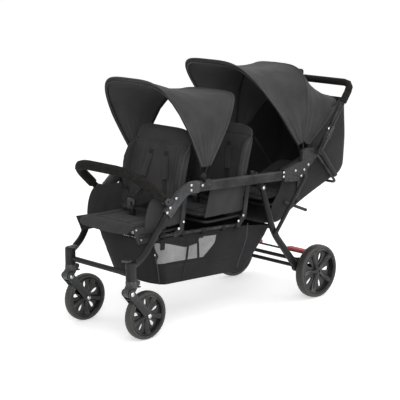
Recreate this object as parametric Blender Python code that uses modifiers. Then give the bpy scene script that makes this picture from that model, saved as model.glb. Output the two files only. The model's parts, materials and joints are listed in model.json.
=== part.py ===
"""Tandem stroller for three children: three seats in a row, two canopies, swivel front wheels.

Metres, +X forward, +Y to the stroller's left, +Z up, the floor at z = 0.
"""

import math

import bmesh
import bpy
from mathutils import Matrix, Vector

# Clearances
GAP = 0.0003
PIN_PLAY = 0.0003
RUN = 0.0012
PIN_RADIUS = 0.004

# Across the width, from the seat outward
SEAT_HALF = 0.170
PANEL_ROOM = 0.0125
SEAT_TUBE_OUT = 0.0035
LOWER_RAIL_OUT = 0.0045
BRACKET_OUT = 0.0136
BRACKET_THICK = 0.0036
RAIL_ROOM = 0.0046
RAIL_THICK = 0.018
CASTING_WALL = 0.0042
SHELL_ROOM = 0.0048
LEG_OUT = 0.007
REAR_LEG_THICK = 0.020
WHEEL_ROOM = 0.005
REAR_WIDTH = 0.043
HANDLE_OUT = 0.026
SUPPORT_IN = 0.007
STEER_IN = 0.023
SIDE_PANEL_Y = SEAT_HALF + PANEL_ROOM
SEAT_TUBE_Y = SIDE_PANEL_Y + SEAT_TUBE_OUT
LOWER_RAIL_Y = SEAT_TUBE_Y + LOWER_RAIL_OUT
BRACKET_Y = SEAT_TUBE_Y + BRACKET_OUT
RAIL_Y = BRACKET_Y + BRACKET_THICK / 2 + RAIL_ROOM + RAIL_THICK / 2
SHELL_HALF = RAIL_Y - RAIL_THICK / 2 - CASTING_WALL - SHELL_ROOM
REAR_LEG_Y = RAIL_Y + LEG_OUT
REAR_TRACK = 2 * (REAR_LEG_Y + REAR_LEG_THICK / 2 + WHEEL_ROOM) + REAR_WIDTH
HANDLE_Y = RAIL_Y + HANDLE_OUT
SUPPORT_Y = RAIL_Y - SUPPORT_IN
STEER_Y = RAIL_Y - STEER_IN

# Side rails
RAIL_DEEP = 0.045
RAIL_FRONT_X = 0.328
RAIL_REAR_X = -0.257
RAIL_FRONT_Z = 0.599
RAIL_DROP = math.radians(2.45)
ARM_THICK = 0.014

# Wheels
REAR_AXLE_X = -0.412
REAR_RADIUS = 0.120
FRONT_RADIUS = 0.101
FRONT_WIDTH = 0.037
TYRE_DEEP = 0.017
SPOKES = 5
HUB_BORE = 0.005
WHEEL_STEPS = 26

# Casters
STEER_X = 0.638
TRAIL = 0.075
STEER_TUBE_RADIUS = 0.022
STEER_TOP_Z = 0.334
STEER_BOTTOM_Z = 0.2595
STEM_RADIUS = 0.008
STEM_LENGTH = 0.040
CROSS_TUBE_Z = 0.284
CROSS_TUBE_RADIUS = 0.011
COLLAR_RADIUS = 0.023
LOCK_Z = 0.2465
COLLAR_BOTTOM_Z = 0.2275
BOLT_X = 0.016
BOLT_Z = 0.209
FORK_TOP = 0.0160
CASTER_HALF = 0.0150
FORK_PLATE = 0.0050
FORK_END = 0.0165

# Front legs
LEG_DEEP = 0.032
LEG_THICK = 0.017
LEG_JOIN_Z = 0.310
ELBOW_PLUG = 0.034
LEG_TOP = (0.459, 0.512)
LEG_LEAN = math.radians(40)
LEG_KNEE = (0.573, 0.352)

# Rear legs, the stays that brace them, and the brake
REAR_LEG_DEEP = 0.034
LEG_PIVOT = (-0.090, 0.541)
STAY_CROSS = (-0.163, 0.332)
LEG_FOOT_BEND = (-0.317, 0.150)
LEG_TAB_THICK = 0.0058
LEG_TAB_RADIUS = 0.0145
AXLE_TUBE_RADIUS = 0.0085
BRACE_TUBE_RADIUS = 0.0085
BRACE_X = -0.350
BRACE_Z = 0.172
BRAKE_X = -0.400
BRAKE_Z = 0.192
BRAKE_ROD_RADIUS = 0.0045
PEDAL_LONG = 0.150
PEDAL_DEEP = 0.034
PEDAL_THICK = 0.010
STAY_DEEP = 0.020
STAY_THICK = 0.010
STAY_TOP = (-0.352, 0.556)

# Push handle
HANDLE_RADIUS = 0.0115
HANDLE_PIVOT = (-0.440, 0.662)
PUSH_BAR = (-0.656, 0.946)
GRIP_RADIUS = 0.0165
GRIP_START = 0.72
HANDLE_CORNER = 0.045
LATCH_LONG = 0.052

# Seats, front to rear
SEAT_PITCH = 0.370
FRONT_HINGE_X = 0.353
SEAT_HINGE_Z = 0.444
SEAT_DEEP = 0.235
PAN_THICK = 0.030
BACK_LONG = 0.400
BACK_THICK = 0.034
BACK_LEAN = math.radians(13)
REAR_BACK_LONG = 0.235
REAR_BACK_LEAN = math.radians(70)
REAR_HINGE_Z = 0.462
WING_THICK = 0.010
WING_REACH = 0.070
SIDE_PANEL_THICK = 0.006
SEAT_TUBE_RADIUS = 0.006
LOWER_RAIL_RADIUS = 0.0065
SEAT_START = 0.012
SEAT_RISE = 0.0102
BACK_START = 0.026
PANEL_REACH = (0.205, 0.235)
PANEL_SWEEP = 0.060
PANEL_TOP = 0.572
WING_LOW = 0.070
WING_HIGH = 0.295
WING_INSET = 0.009
BRACKET_LOBE = 0.0115
BOSS_RADIUS = 0.0050
BUCKLE_AHEAD = 0.110
BUCKLE_WIDE = 0.044
BUCKLE_TALL = 0.050
BUCKLE_THICK = 0.016
BUTTON_RADIUS = 0.009
BUTTON_PROUD = 0.0035
BUTTON_DEEP = 0.0075
BUTTON_TRAVEL = 0.0030

# Canopies
BOW_RADIUS = 0.0040
COVER_THICK = 0.0030
FRONT_CANOPY_PIVOT = (0.241, 0.634)
REAR_CANOPY_PIVOT = (-0.363, 0.663)
CANOPY_IN = 0.003
CANOPY_HALF = RAIL_Y - CANOPY_IN
HUB_RADIUS = 0.0135
HUB_THICK = 0.0060
HUB_GAP = 0.0024
HUB_PIN_RADIUS = 0.003
COVER_START = 0.050
CLOTH_ROWS = 4
CLOTH_COLUMNS = 14
FRONT_SAG = 0.030
REAR_SAG = 0.022
SAG_SPAN = 0.300
BOW_ROOM = 0.0032
EDGE_SETBACK = 0.007
COVER_FLARE = 0.250
CLIP_LONG = 0.034
CLIP_WALL = 0.0040
CLIP_DROP = 0.030
FRONT_BOW_REACH = (0.397, 0.458)
FRONT_BOW_FLARE = (0.016, 0.022)
FRONT_BOW_TURN = (math.radians(121), math.radians(61))
FRONT_BOW_LEAN = (math.radians(6.5), 0.0)
FRONT_BOW_BLUNT = (4.1, 4.3)
REAR_BOW_REACH = (0.352, 0.388, 0.558)
REAR_BOW_FLARE = (0.0, 0.012, 0.020)
REAR_BOW_TURN = (math.radians(143.5), math.radians(97), math.radians(48))
REAR_BOW_LEAN = (0.0, 0.0, 0.0)
REAR_BOW_BLUNT = (5.0, 3.8, 4.5)

# Bumper bar
BUMPER_PIVOT = (0.465, 0.560)
BUMPER_REACH = 0.620
BUMPER_TOP_Z = 0.690
BUMPER_RADIUS = 0.0205
BUMPER_START = 0.036
BUMPER_CORNER_Y = 0.190
BUMPER_BEND = 0.110
BUMPER_RISE = math.radians(40)
BUMPER_DROP = math.radians(45)
TONGUE_THICK = 0.009
TONGUE_RADIUS = 0.0120

# Rear shell and basket
SHELL_WALL = 0.0040
SHELL_BASE = [(-0.157, 0.362), (-0.234, 0.352), (-0.375, 0.425), (-0.572, 0.498), (-0.646, 0.522),
              (-0.668, 0.556), (-0.670, 0.700), (-0.662, 0.838)]
SHELL_EDGE = [(-0.627, 0.850), (-0.442, 0.700), (-0.412, 0.640), (-0.262, 0.600), (-0.234, 0.500),
              (-0.184, 0.450)]
BASKET_WALL = 0.0030
BASKET_FLOOR = ((0.424, 0.193), (-0.072, 0.172))
BASKET_RIM = ((0.490, 0.398), (-0.207, 0.296))
BASKET_CORNER = 0.030
BASKET_RIM_HOLD = 5.0
BASKET_SIDE_STEPS = 6
BASKET_TOP_HALF = 0.1815
BASKET_BOTTOM_HALF = 0.152
SUPPORT_RADIUS = 0.0060
SUPPORT_LOW = (-0.598, 0.494)

for old in list(bpy.data.objects):
    bpy.data.objects.remove(old, do_unlink=True)

stroller = bpy.data.collections.new("triple_stroller")
bpy.context.scene.collection.children.link(stroller)
cutters = bpy.data.collections.new("stroller_cutters")
cutters.hide_render = True
bpy.context.scene.collection.children.link(cutters)


def material(name, colour, roughness, metallic=0.0):
    made = bpy.data.materials.new(name)
    made.use_nodes = True
    surface = made.node_tree.nodes["Principled BSDF"]
    surface.inputs["Base Color"].default_value = (*colour, 1.0)
    surface.inputs["Roughness"].default_value = roughness
    surface.inputs["Metallic"].default_value = metallic
    return made


BLACK_TUBE = material("satin_black_tube", (0.012, 0.012, 0.013), 0.38, 0.4)
GREY_CASTING = material("grey_moulding", (0.045, 0.046, 0.050), 0.5)
RUBBER = material("tyre_rubber", (0.030, 0.030, 0.029), 0.75)
RIM = material("wheel_moulding", (0.012, 0.012, 0.013), 0.45)
FOAM = material("black_foam", (0.010, 0.010, 0.010), 0.95)
CLOTH = material("charcoal_cloth", (0.035, 0.036, 0.038), 0.9)
LINING = material("dark_cloth", (0.016, 0.016, 0.017), 0.95)
RED = material("red_moulding", (0.42, 0.010, 0.020), 0.4)


# Shapes

def new_object(name, mesh, finish, holder=None):
    made = bpy.data.objects.new(name, mesh)
    stroller.objects.link(made)
    if finish:
        mesh.materials.append(finish)
    if holder:
        carry(made, holder)
    return made


def carry(piece, holder):
    """Parents a piece that is already in place."""
    piece.parent = holder
    piece.matrix_parent_inverse = holder.matrix_world.inverted()


def axis_at(name, x, y, z, holder=None):
    """An empty that stands on a joint's axis and carries what moves about it."""
    empty = bpy.data.objects.new(name, None)
    empty.empty_display_size = 0.03
    stroller.objects.link(empty)
    empty.location = (x, y, z)
    bpy.context.view_layer.update()
    if holder:
        carry(empty, holder)
        bpy.context.view_layer.update()
    return empty


def combine(piece, other, operation):
    modifier = piece.modifiers.new(operation.lower(), "BOOLEAN")
    modifier.operation = operation
    modifier.object = other
    stroller.objects.unlink(other)
    cutters.objects.link(other)
    other.hide_render = True
    other.display_type = "WIRE"
    return piece


def cut(piece, *others):
    for other in others:
        combine(piece, other, "DIFFERENCE")
    return piece


def fuse(piece, *others):
    for other in others:
        combine(piece, other, "UNION")
    return piece


def smooth(mesh, angle=35):
    mesh.shade_smooth()
    mesh.set_sharp_from_angle(angle=math.radians(angle))


def mesh_from(curve, place=Matrix.Identity(4)):
    """The mesh of a curve, with its caps welded on."""
    holder = bpy.data.objects.new("curve", curve)
    stroller.objects.link(holder)
    graph = bpy.context.evaluated_depsgraph_get()
    mesh = bpy.data.meshes.new_from_object(holder.evaluated_get(graph))
    bpy.data.objects.remove(holder, do_unlink=True)
    bpy.data.curves.remove(curve)
    shape = bmesh.new()
    shape.from_mesh(mesh)
    bmesh.ops.remove_doubles(shape, verts=shape.verts, dist=1e-6)
    bmesh.ops.recalc_face_normals(shape, faces=shape.faces)
    shape.to_mesh(mesh)
    shape.free()
    mesh.transform(place)
    mesh.materials.clear()
    smooth(mesh)
    return mesh


def tube(name, points, radius, finish=None, holder=None, sides=2):
    curve = bpy.data.curves.new(name, "CURVE")
    curve.dimensions = "3D"
    curve.bevel_depth = radius
    curve.bevel_resolution = sides
    curve.use_fill_caps = True
    spline = curve.splines.new("POLY")
    spline.points.add(len(points) - 1)
    for knot, point in zip(spline.points, points):
        knot.co = (*point, 1)
    return new_object(name, mesh_from(curve), finish, holder)


def plate(name, outline, thick, middle_y, finish=None, holder=None, holes=()):
    """A flat piece with an outline of (x, z) points, its thickness centred on middle_y."""
    curve = bpy.data.curves.new(name, "CURVE")
    curve.dimensions = "2D"
    curve.fill_mode = "BOTH"
    curve.extrude = thick / 2
    for loop in (outline, *holes):
        spline = curve.splines.new("POLY")
        spline.points.add(len(loop) - 1)
        spline.use_cyclic_u = True
        for knot, (x, z) in zip(spline.points, loop):
            knot.co = (x, z, 0, 1)
    standing = Matrix.Translation((0, middle_y, 0)) @ Matrix.Rotation(math.pi / 2, 4, "X")
    return new_object(name, mesh_from(curve, standing), finish, holder)


def turned(name, profile, middle, toward, finish=None, holder=None, steps=32, ring=False):
    """A round piece from (radius, along) points that run down its outer side."""
    mesh = bpy.data.meshes.new(name)
    points = [(radius, 0, along) for radius, along in profile]
    edges = [(i, i + 1) for i in range(len(points) - 1)]
    if ring:
        edges.append((len(points) - 1, 0))
    mesh.from_pydata(points, edges, [])
    made = new_object(name, mesh, finish)
    made.location = middle
    made.rotation_mode = "QUATERNION"
    made.rotation_quaternion = Vector((0, 0, 1)).rotation_difference(Vector(toward))
    screw = made.modifiers.new("turn", "SCREW")
    screw.steps = steps
    screw.render_steps = steps
    screw.use_merge_vertices = True
    screw.merge_threshold = 1e-5
    screw.use_smooth_shade = True
    if holder:
        bpy.context.view_layer.update()
        carry(made, holder)
    return made


def rod(name, start, end, radius, finish=None, holder=None, steps=10):
    """A plain round bar between two points."""
    start, end = Vector(start), Vector(end)
    half = (end - start).length / 2
    profile = [(0, half), (radius, half), (radius, -half), (0, -half)]
    middle = (start + end) / 2
    return turned(name, profile, middle, (end - start).normalized(), finish, holder, steps)


def loft(name, rings, finish=None, holder=None, angle=35):
    """A closed skin over rings of equally many points."""
    shape = bmesh.new()
    loops = [[shape.verts.new(point) for point in ring] for ring in rings]
    for one, two in zip(loops, loops[1:]):
        for i in range(len(one)):
            j = (i + 1) % len(one)
            shape.faces.new((one[i], one[j], two[j], two[i]))
    shape.faces.new(loops[0])
    shape.faces.new(loops[-1])
    bmesh.ops.recalc_face_normals(shape, faces=shape.faces)
    mesh = bpy.data.meshes.new(name)
    shape.to_mesh(mesh)
    shape.free()
    smooth(mesh, angle)
    return new_object(name, mesh, finish, holder)


def block(name, size, middle, finish=None, holder=None, bevel=0.0, turn=0.0):
    """A box with rounded edges, turned about Y."""
    shape = bmesh.new()
    bmesh.ops.create_cube(shape, size=1)
    bmesh.ops.scale(shape, vec=size, verts=shape.verts)
    if bevel:
        bmesh.ops.bevel(shape, geom=list(shape.edges), offset=bevel, segments=1,
                        profile=0.5, affect="EDGES")
    place = Matrix.Translation(middle) @ Matrix.Rotation(turn, 4, "Y")
    bmesh.ops.transform(shape, matrix=place, verts=shape.verts)
    mesh = bpy.data.meshes.new(name)
    shape.to_mesh(mesh)
    shape.free()
    smooth(mesh)
    return new_object(name, mesh, finish, holder)


def oval(deep, thick, steps=3):
    """The outline of a flattened tube with round ends."""
    radius = thick / 2
    straight = deep / 2 - radius
    points = []
    for end in (1, -1):
        for i in range(steps + 1):
            turn = math.pi * i / steps
            points.append((end * (straight + radius * math.sin(turn)),
                           end * radius * math.cos(turn)))
    return points


def rounded(points, cut_back, steps=4):
    """A path through the points whose corners are rounded off by cut_back, one value or one each."""
    points = [Vector(point) for point in points]
    cuts = cut_back if isinstance(cut_back, (list, tuple)) else [cut_back] * (len(points) - 2)
    path = [points[0]]
    for before, corner, after, cut_here in zip(points, points[1:], points[2:], cuts):
        start = corner + (before - corner).normalized() * cut_here
        end = corner + (after - corner).normalized() * cut_here
        for i in range(steps + 1):
            t = i / steps
            path.append(start * (1 - t) ** 2 + corner * 2 * t * (1 - t) + end * t ** 2)
    path.append(points[-1])
    return path


def flat_tube(name, path, section, finish=None, holder=None, widths=None):
    """A section swept along a path, its second size across the stroller."""
    path = [Vector(point) for point in path]
    rings = []
    for i, point in enumerate(path):
        ahead = (path[min(i + 1, len(path) - 1)] - path[max(i - 1, 0)]).normalized()
        across = Vector((0, 1, 0))
        across = (across - ahead * across.dot(ahead)).normalized()
        up = ahead.cross(across)
        wide = widths[i] if widths else 1.0
        rings.append([point + up * a * wide + across * b for a, b in section])
    return loft(name, rings, finish, holder)


def circle(x, z, radius, steps):
    return [(x + radius * math.cos(2 * math.pi * i / steps),
             z + radius * math.sin(2 * math.pi * i / steps)) for i in range(steps)]


def link_outline(start, end, start_radius, end_radius, steps=5):
    """The outline of a flat link with a round lobe about each (x, z) point."""
    along = math.atan2(end[1] - start[1], end[0] - start[0])
    outline = []
    for (x, z), radius, facing in ((end, end_radius, along), (start, start_radius, along + math.pi)):
        for i in range(steps + 1):
            turn = facing - math.pi / 2 + math.pi * i / steps
            outline.append((x + radius * math.cos(turn), z + radius * math.sin(turn)))
    return outline


def rail_z(x):
    """Height of the side rail's centre line."""
    return RAIL_FRONT_Z + (x - RAIL_FRONT_X) * math.tan(RAIL_DROP)


SIDES = (("left", 1), ("right", -1))


# Side rails, each with the tab that the rear leg hangs from

def make_rails():
    for side, way in SIDES:
        y = way * RAIL_Y
        ends = [(x, y, rail_z(x)) for x in (RAIL_REAR_X, RAIL_FRONT_X)]
        rail = flat_tube(f"side_rail_{side}", ends, oval(RAIL_DEEP, RAIL_THICK), BLACK_TUBE)
        tab_y = way * (RAIL_Y - RAIL_THICK / 2 + LEG_TAB_THICK / 2 - 0.0005)
        x, z = LEG_PIVOT
        top = (x, rail_z(x) - RAIL_DEEP / 4)
        tab = plate("leg_tab", link_outline(LEG_PIVOT, top, LEG_TAB_RADIUS, LEG_TAB_RADIUS),
                    LEG_TAB_THICK, tab_y)
        fuse(rail, tab)
        cut(rail, rod("tab_bore", (x, 0, z), (x, way * 0.3, z), PIN_RADIUS + PIN_PLAY))


# Elbows that turn the rails down to the front legs, with ears for the bumper bar

def elbow_path(way):
    y = way * RAIL_Y
    start = (RAIL_FRONT_X - 0.040, y, rail_z(RAIL_FRONT_X - 0.040))
    bend = (RAIL_FRONT_X + 0.034, y, rail_z(RAIL_FRONT_X + 0.034) - 0.001)
    return start, bend


def leg_line(way):
    """The front leg's centre line, from its end inside the elbow to the steering tube."""
    y = way * RAIL_Y
    low_y = way * STEER_Y
    mouth = Vector((LEG_TOP[0], y, LEG_TOP[1]))
    up = Vector((-math.sin(LEG_LEAN), 0, math.cos(LEG_LEAN)))
    knee = Vector((LEG_KNEE[0], low_y + way * 0.006, LEG_KNEE[1]))
    foot = Vector((STEER_X, low_y, LEG_JOIN_Z))
    return mouth + up * ELBOW_PLUG, mouth, mouth - up * 0.016, knee, foot


def make_elbows():
    for side, way in SIDES:
        start, bend = elbow_path(way)
        plug, mouth, below, knee, foot = leg_line(way)
        down = (mouth - plug).normalized()
        deep = RAIL_DEEP + 2 * CASTING_WALL
        thick = RAIL_THICK + 2 * CASTING_WALL
        path = rounded([start, bend, mouth + down * 0.010], 0.042, 4)
        elbow = flat_tube(f"front_elbow_{side}", path, oval(deep, thick), GREY_CASTING)
        ear_y = way * RAIL_Y
        ear_root = (LEG_TOP[0] - 0.025, LEG_TOP[1] + 0.032)
        ear = link_outline(BUMPER_PIVOT, ear_root, 0.0150, 0.020)
        fuse(elbow, plate("bumper_ear", ear, thick - 0.002, ear_y))
        rail_end = [(RAIL_REAR_X, start[1], rail_z(RAIL_REAR_X)),
                    (RAIL_FRONT_X + GAP, start[1], rail_z(RAIL_FRONT_X + GAP))]
        cut(elbow, flat_tube("rail_socket", rail_end, oval(RAIL_DEEP + 2 * GAP, RAIL_THICK + 2 * GAP)))
        socket = [plug - down * GAP, mouth + down * 0.030]
        cut(elbow, flat_tube("leg_socket", socket, oval(LEG_DEEP + 2 * GAP, LEG_THICK + 2 * GAP)))
        px, pz = BUMPER_PIVOT
        for turn in (BUMPER_RISE, BUMPER_RISE - BUMPER_DROP):
            out = (px + 0.060 * math.cos(turn), pz + 0.060 * math.sin(turn))
            slot = link_outline(BUMPER_PIVOT, out, TONGUE_RADIUS + RUN, TONGUE_RADIUS + RUN)
            cut(elbow, plate("bumper_slot", slot, TONGUE_THICK + 4 * GAP, ear_y))
        cut(elbow, rod("ear_bore", (px, 0, pz), (px, way * 0.3, pz), PIN_RADIUS + PIN_PLAY))


# Front legs and the welded steering frame that they stand on

def make_front_legs():
    for side, way in SIDES:
        plug, mouth, below, knee, foot = leg_line(way)
        path = rounded([plug, below, knee, foot], (0.014, 0.030), 3)
        leg = flat_tube(f"front_leg_{side}", path, oval(LEG_DEEP, LEG_THICK), BLACK_TUBE)
        cut(leg, rod("steer_room", (STEER_X, way * STEER_Y, 0.2), (STEER_X, way * STEER_Y, 0.4),
                     STEER_TUBE_RADIUS + GAP, steps=18))


def make_steering_frame():
    cross = rod("front_steering_frame", (STEER_X, -STEER_Y, CROSS_TUBE_Z),
                (STEER_X, STEER_Y, CROSS_TUBE_Z), CROSS_TUBE_RADIUS, BLACK_TUBE)
    tall = STEER_TOP_Z - STEER_BOTTOM_Z
    radius = STEER_TUBE_RADIUS
    profile = [(0, tall), (radius * 0.72, tall - 0.0012), (radius, tall - 0.007), (radius, 0), (0, 0)]
    for side, way in SIDES:
        foot = (STEER_X, way * STEER_Y, STEER_BOTTOM_Z)
        fuse(cross, turned("steering_tube", profile, foot, (0, 0, 1), steps=18))
        cut(cross, rod("stem_bore", (STEER_X, way * STEER_Y, STEER_BOTTOM_Z - 0.01),
                       (STEER_X, way * STEER_Y, STEER_BOTTOM_Z + STEM_LENGTH + GAP),
                       STEM_RADIUS + PIN_PLAY, steps=18))


# Wheels

def teardrop(turn, inner, outer, half, steps=3):
    """A wheel opening: pointed toward the hub and round toward the rim."""
    centre = outer - half
    local = [(inner, 0)]
    for i in range(steps + 1):
        a = math.radians(-110 + 220 * i / steps)
        local.append((centre + half * math.cos(a), half * math.sin(a)))
    return [(r * math.cos(turn) - s * math.sin(turn), r * math.sin(turn) + s * math.cos(turn))
            for r, s in local]


def make_wheel(name, x, y, radius, width, way, holder):
    rim = radius - TYRE_DEEP
    half = width / 2
    seat = half - 0.004
    tread = radius / math.cos(math.pi / WHEEL_STEPS)
    tyre_profile = [(rim + GAP, seat), (radius - 0.005, half), (tread, half - 0.008),
                    (tread, -half + 0.008), (radius - 0.005, -half), (rim + GAP, -seat)]
    middle = (x, y, radius)
    turned(f"{name}_tyre", tyre_profile, middle, (0, way, 0), RUBBER, holder, steps=WHEEL_STEPS, ring=True)
    openings = []
    for k in range(SPOKES):
        drop = teardrop(math.radians(90) + 2 * math.pi * k / SPOKES, rim * 0.52, rim * 0.88, rim * 0.125)
        openings.append([(x + a, radius + b) for a, b in drop])
    hub = plate(f"{name}_hub", circle(x, radius, rim - 0.0035, 25), 0.010, y + way * 0.002, RIM, holder,
                openings)
    rim_profile = [(rim, seat - 0.001), (rim, -seat + 0.001),
                   (rim - 0.006, -seat + 0.001), (rim - 0.006, seat - 0.001)]
    boss = [(0, half - 0.002), (0.015, half - 0.004), (0.020, 0.004), (0.016, -half + 0.002),
            (0, -half + 0.002)]
    fuse(hub, turned("rim_ring", rim_profile, middle, (0, way, 0), steps=WHEEL_STEPS, ring=True))
    fuse(hub, turned("hub_boss", boss, middle, (0, way, 0), steps=12))
    return hub


# Casters: a swivelling body, a sprung trailing fork, a wheel and a swivel lock

def make_casters():
    for side, way in SIDES:
        y = way * STEER_Y
        swivel = axis_at(f"caster_axis_{side}", STEER_X, y, COLLAR_BOTTOM_Z)
        collar_top = STEER_BOTTOM_Z - 0.0010
        stem = [(0, collar_top + STEM_LENGTH), (STEM_RADIUS, collar_top + STEM_LENGTH),
                (STEM_RADIUS, collar_top), (COLLAR_RADIUS - 0.002, collar_top),
                (COLLAR_RADIUS, collar_top - 0.003), (COLLAR_RADIUS, COLLAR_BOTTOM_Z + 0.004),
                (COLLAR_RADIUS - 0.004, COLLAR_BOTTOM_Z), (0, COLLAR_BOTTOM_Z)]
        body = turned(f"caster_body_{side}", stem, (STEER_X, y, 0), (0, 0, 1), GREY_CASTING, swivel, 18)
        bolt = (STEER_X + BOLT_X, BOLT_Z)
        collar = (STEER_X - 0.004, COLLAR_BOTTOM_Z + 0.010)
        nose = plate("caster_nose", link_outline(collar, bolt, 0.0185, FORK_TOP + 0.0015),
                     2 * CASTER_HALF, y, holder=swivel)
        fuse(body, nose)
        reach = FRONT_WIDTH / 2 + RUN + FORK_PLATE
        fuse(body, rod("caster_bolt", (bolt[0], y - reach - 0.003, bolt[1]),
                       (bolt[0], y + reach + 0.003, bolt[1]), PIN_RADIUS, holder=swivel))

        lock_axis = axis_at(f"lock_axis_{side}", STEER_X - COLLAR_RADIUS - 0.006, y, LOCK_Z,
                            swivel)
        for ear in (-1, 1):
            fuse(body, block("lock_ear", (0.022, 0.004, 0.016),
                             (STEER_X - COLLAR_RADIUS - 0.001, y + ear * 0.0125, LOCK_Z),
                             holder=swivel))
        lock_x = STEER_X - COLLAR_RADIUS - 0.006
        for ear in (-1, 1):
            cut(body, rod("lock_bore", (lock_x, y, LOCK_Z), (lock_x, y + ear * 0.02, LOCK_Z),
                          0.0025 + PIN_PLAY, holder=swivel))
        lever = block(f"swivel_lock_{side}", (0.0070, 0.0200, 0.030), (lock_x - 0.002, y, LOCK_Z - 0.006),
                      GREY_CASTING, lock_axis, 0.0015)
        fuse(lever, block("lock_toe", (0.014, 0.020, 0.006), (lock_x - 0.008, y, LOCK_Z - 0.019),
                          holder=lock_axis, bevel=0.0015))
        fuse(lever, rod("lock_pin", (lock_x, y - 0.0145, LOCK_Z), (lock_x, y + 0.0145, LOCK_Z),
                        0.0025, holder=lock_axis))

        sprung = axis_at(f"suspension_axis_{side}", bolt[0], y, bolt[1], swivel)
        axle = (STEER_X - TRAIL, FRONT_RADIUS)
        plate_y = FRONT_WIDTH / 2 + RUN + FORK_PLATE / 2
        fork = plate(f"caster_fork_{side}", link_outline(bolt, axle, FORK_TOP, FORK_END), FORK_PLATE,
                     y + plate_y, GREY_CASTING, sprung)
        fuse(fork, plate("fork_plate", link_outline(bolt, axle, FORK_TOP, FORK_END), FORK_PLATE,
                         y - plate_y, holder=sprung))
        along = Vector((axle[0] - bolt[0], 0, axle[1] - bolt[1])).normalized()
        web = Vector((bolt[0], y, bolt[1])) + along * 0.0270
        fuse(fork, block("fork_web", (0.0050, 2 * plate_y, 0.030), web, holder=sprung,
                         turn=math.atan2(-along.z, along.x)))
        cut(fork, rod("fork_bore", (bolt[0], y - 0.05, bolt[1]), (bolt[0], y + 0.05, bolt[1]),
                      PIN_RADIUS + PIN_PLAY, holder=sprung))
        fuse(fork, rod("front_axle", (axle[0], y - plate_y - 0.0055, axle[1]),
                       (axle[0], y + plate_y + 0.0055, axle[1]), HUB_BORE, holder=sprung))

        spin = axis_at(f"front_wheel_axis_{side}", axle[0], y, axle[1], sprung)
        hub = make_wheel(f"front_wheel_{side}", axle[0], y, FRONT_RADIUS, FRONT_WIDTH, way, spin)
        cut(hub, rod("hub_bore", (axle[0], y - 0.05, axle[1]), (axle[0], y + 0.05, axle[1]),
                     HUB_BORE + PIN_PLAY, holder=spin))


# Rear legs, axle, stays and brake, which swing forward together when the frame folds

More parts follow.
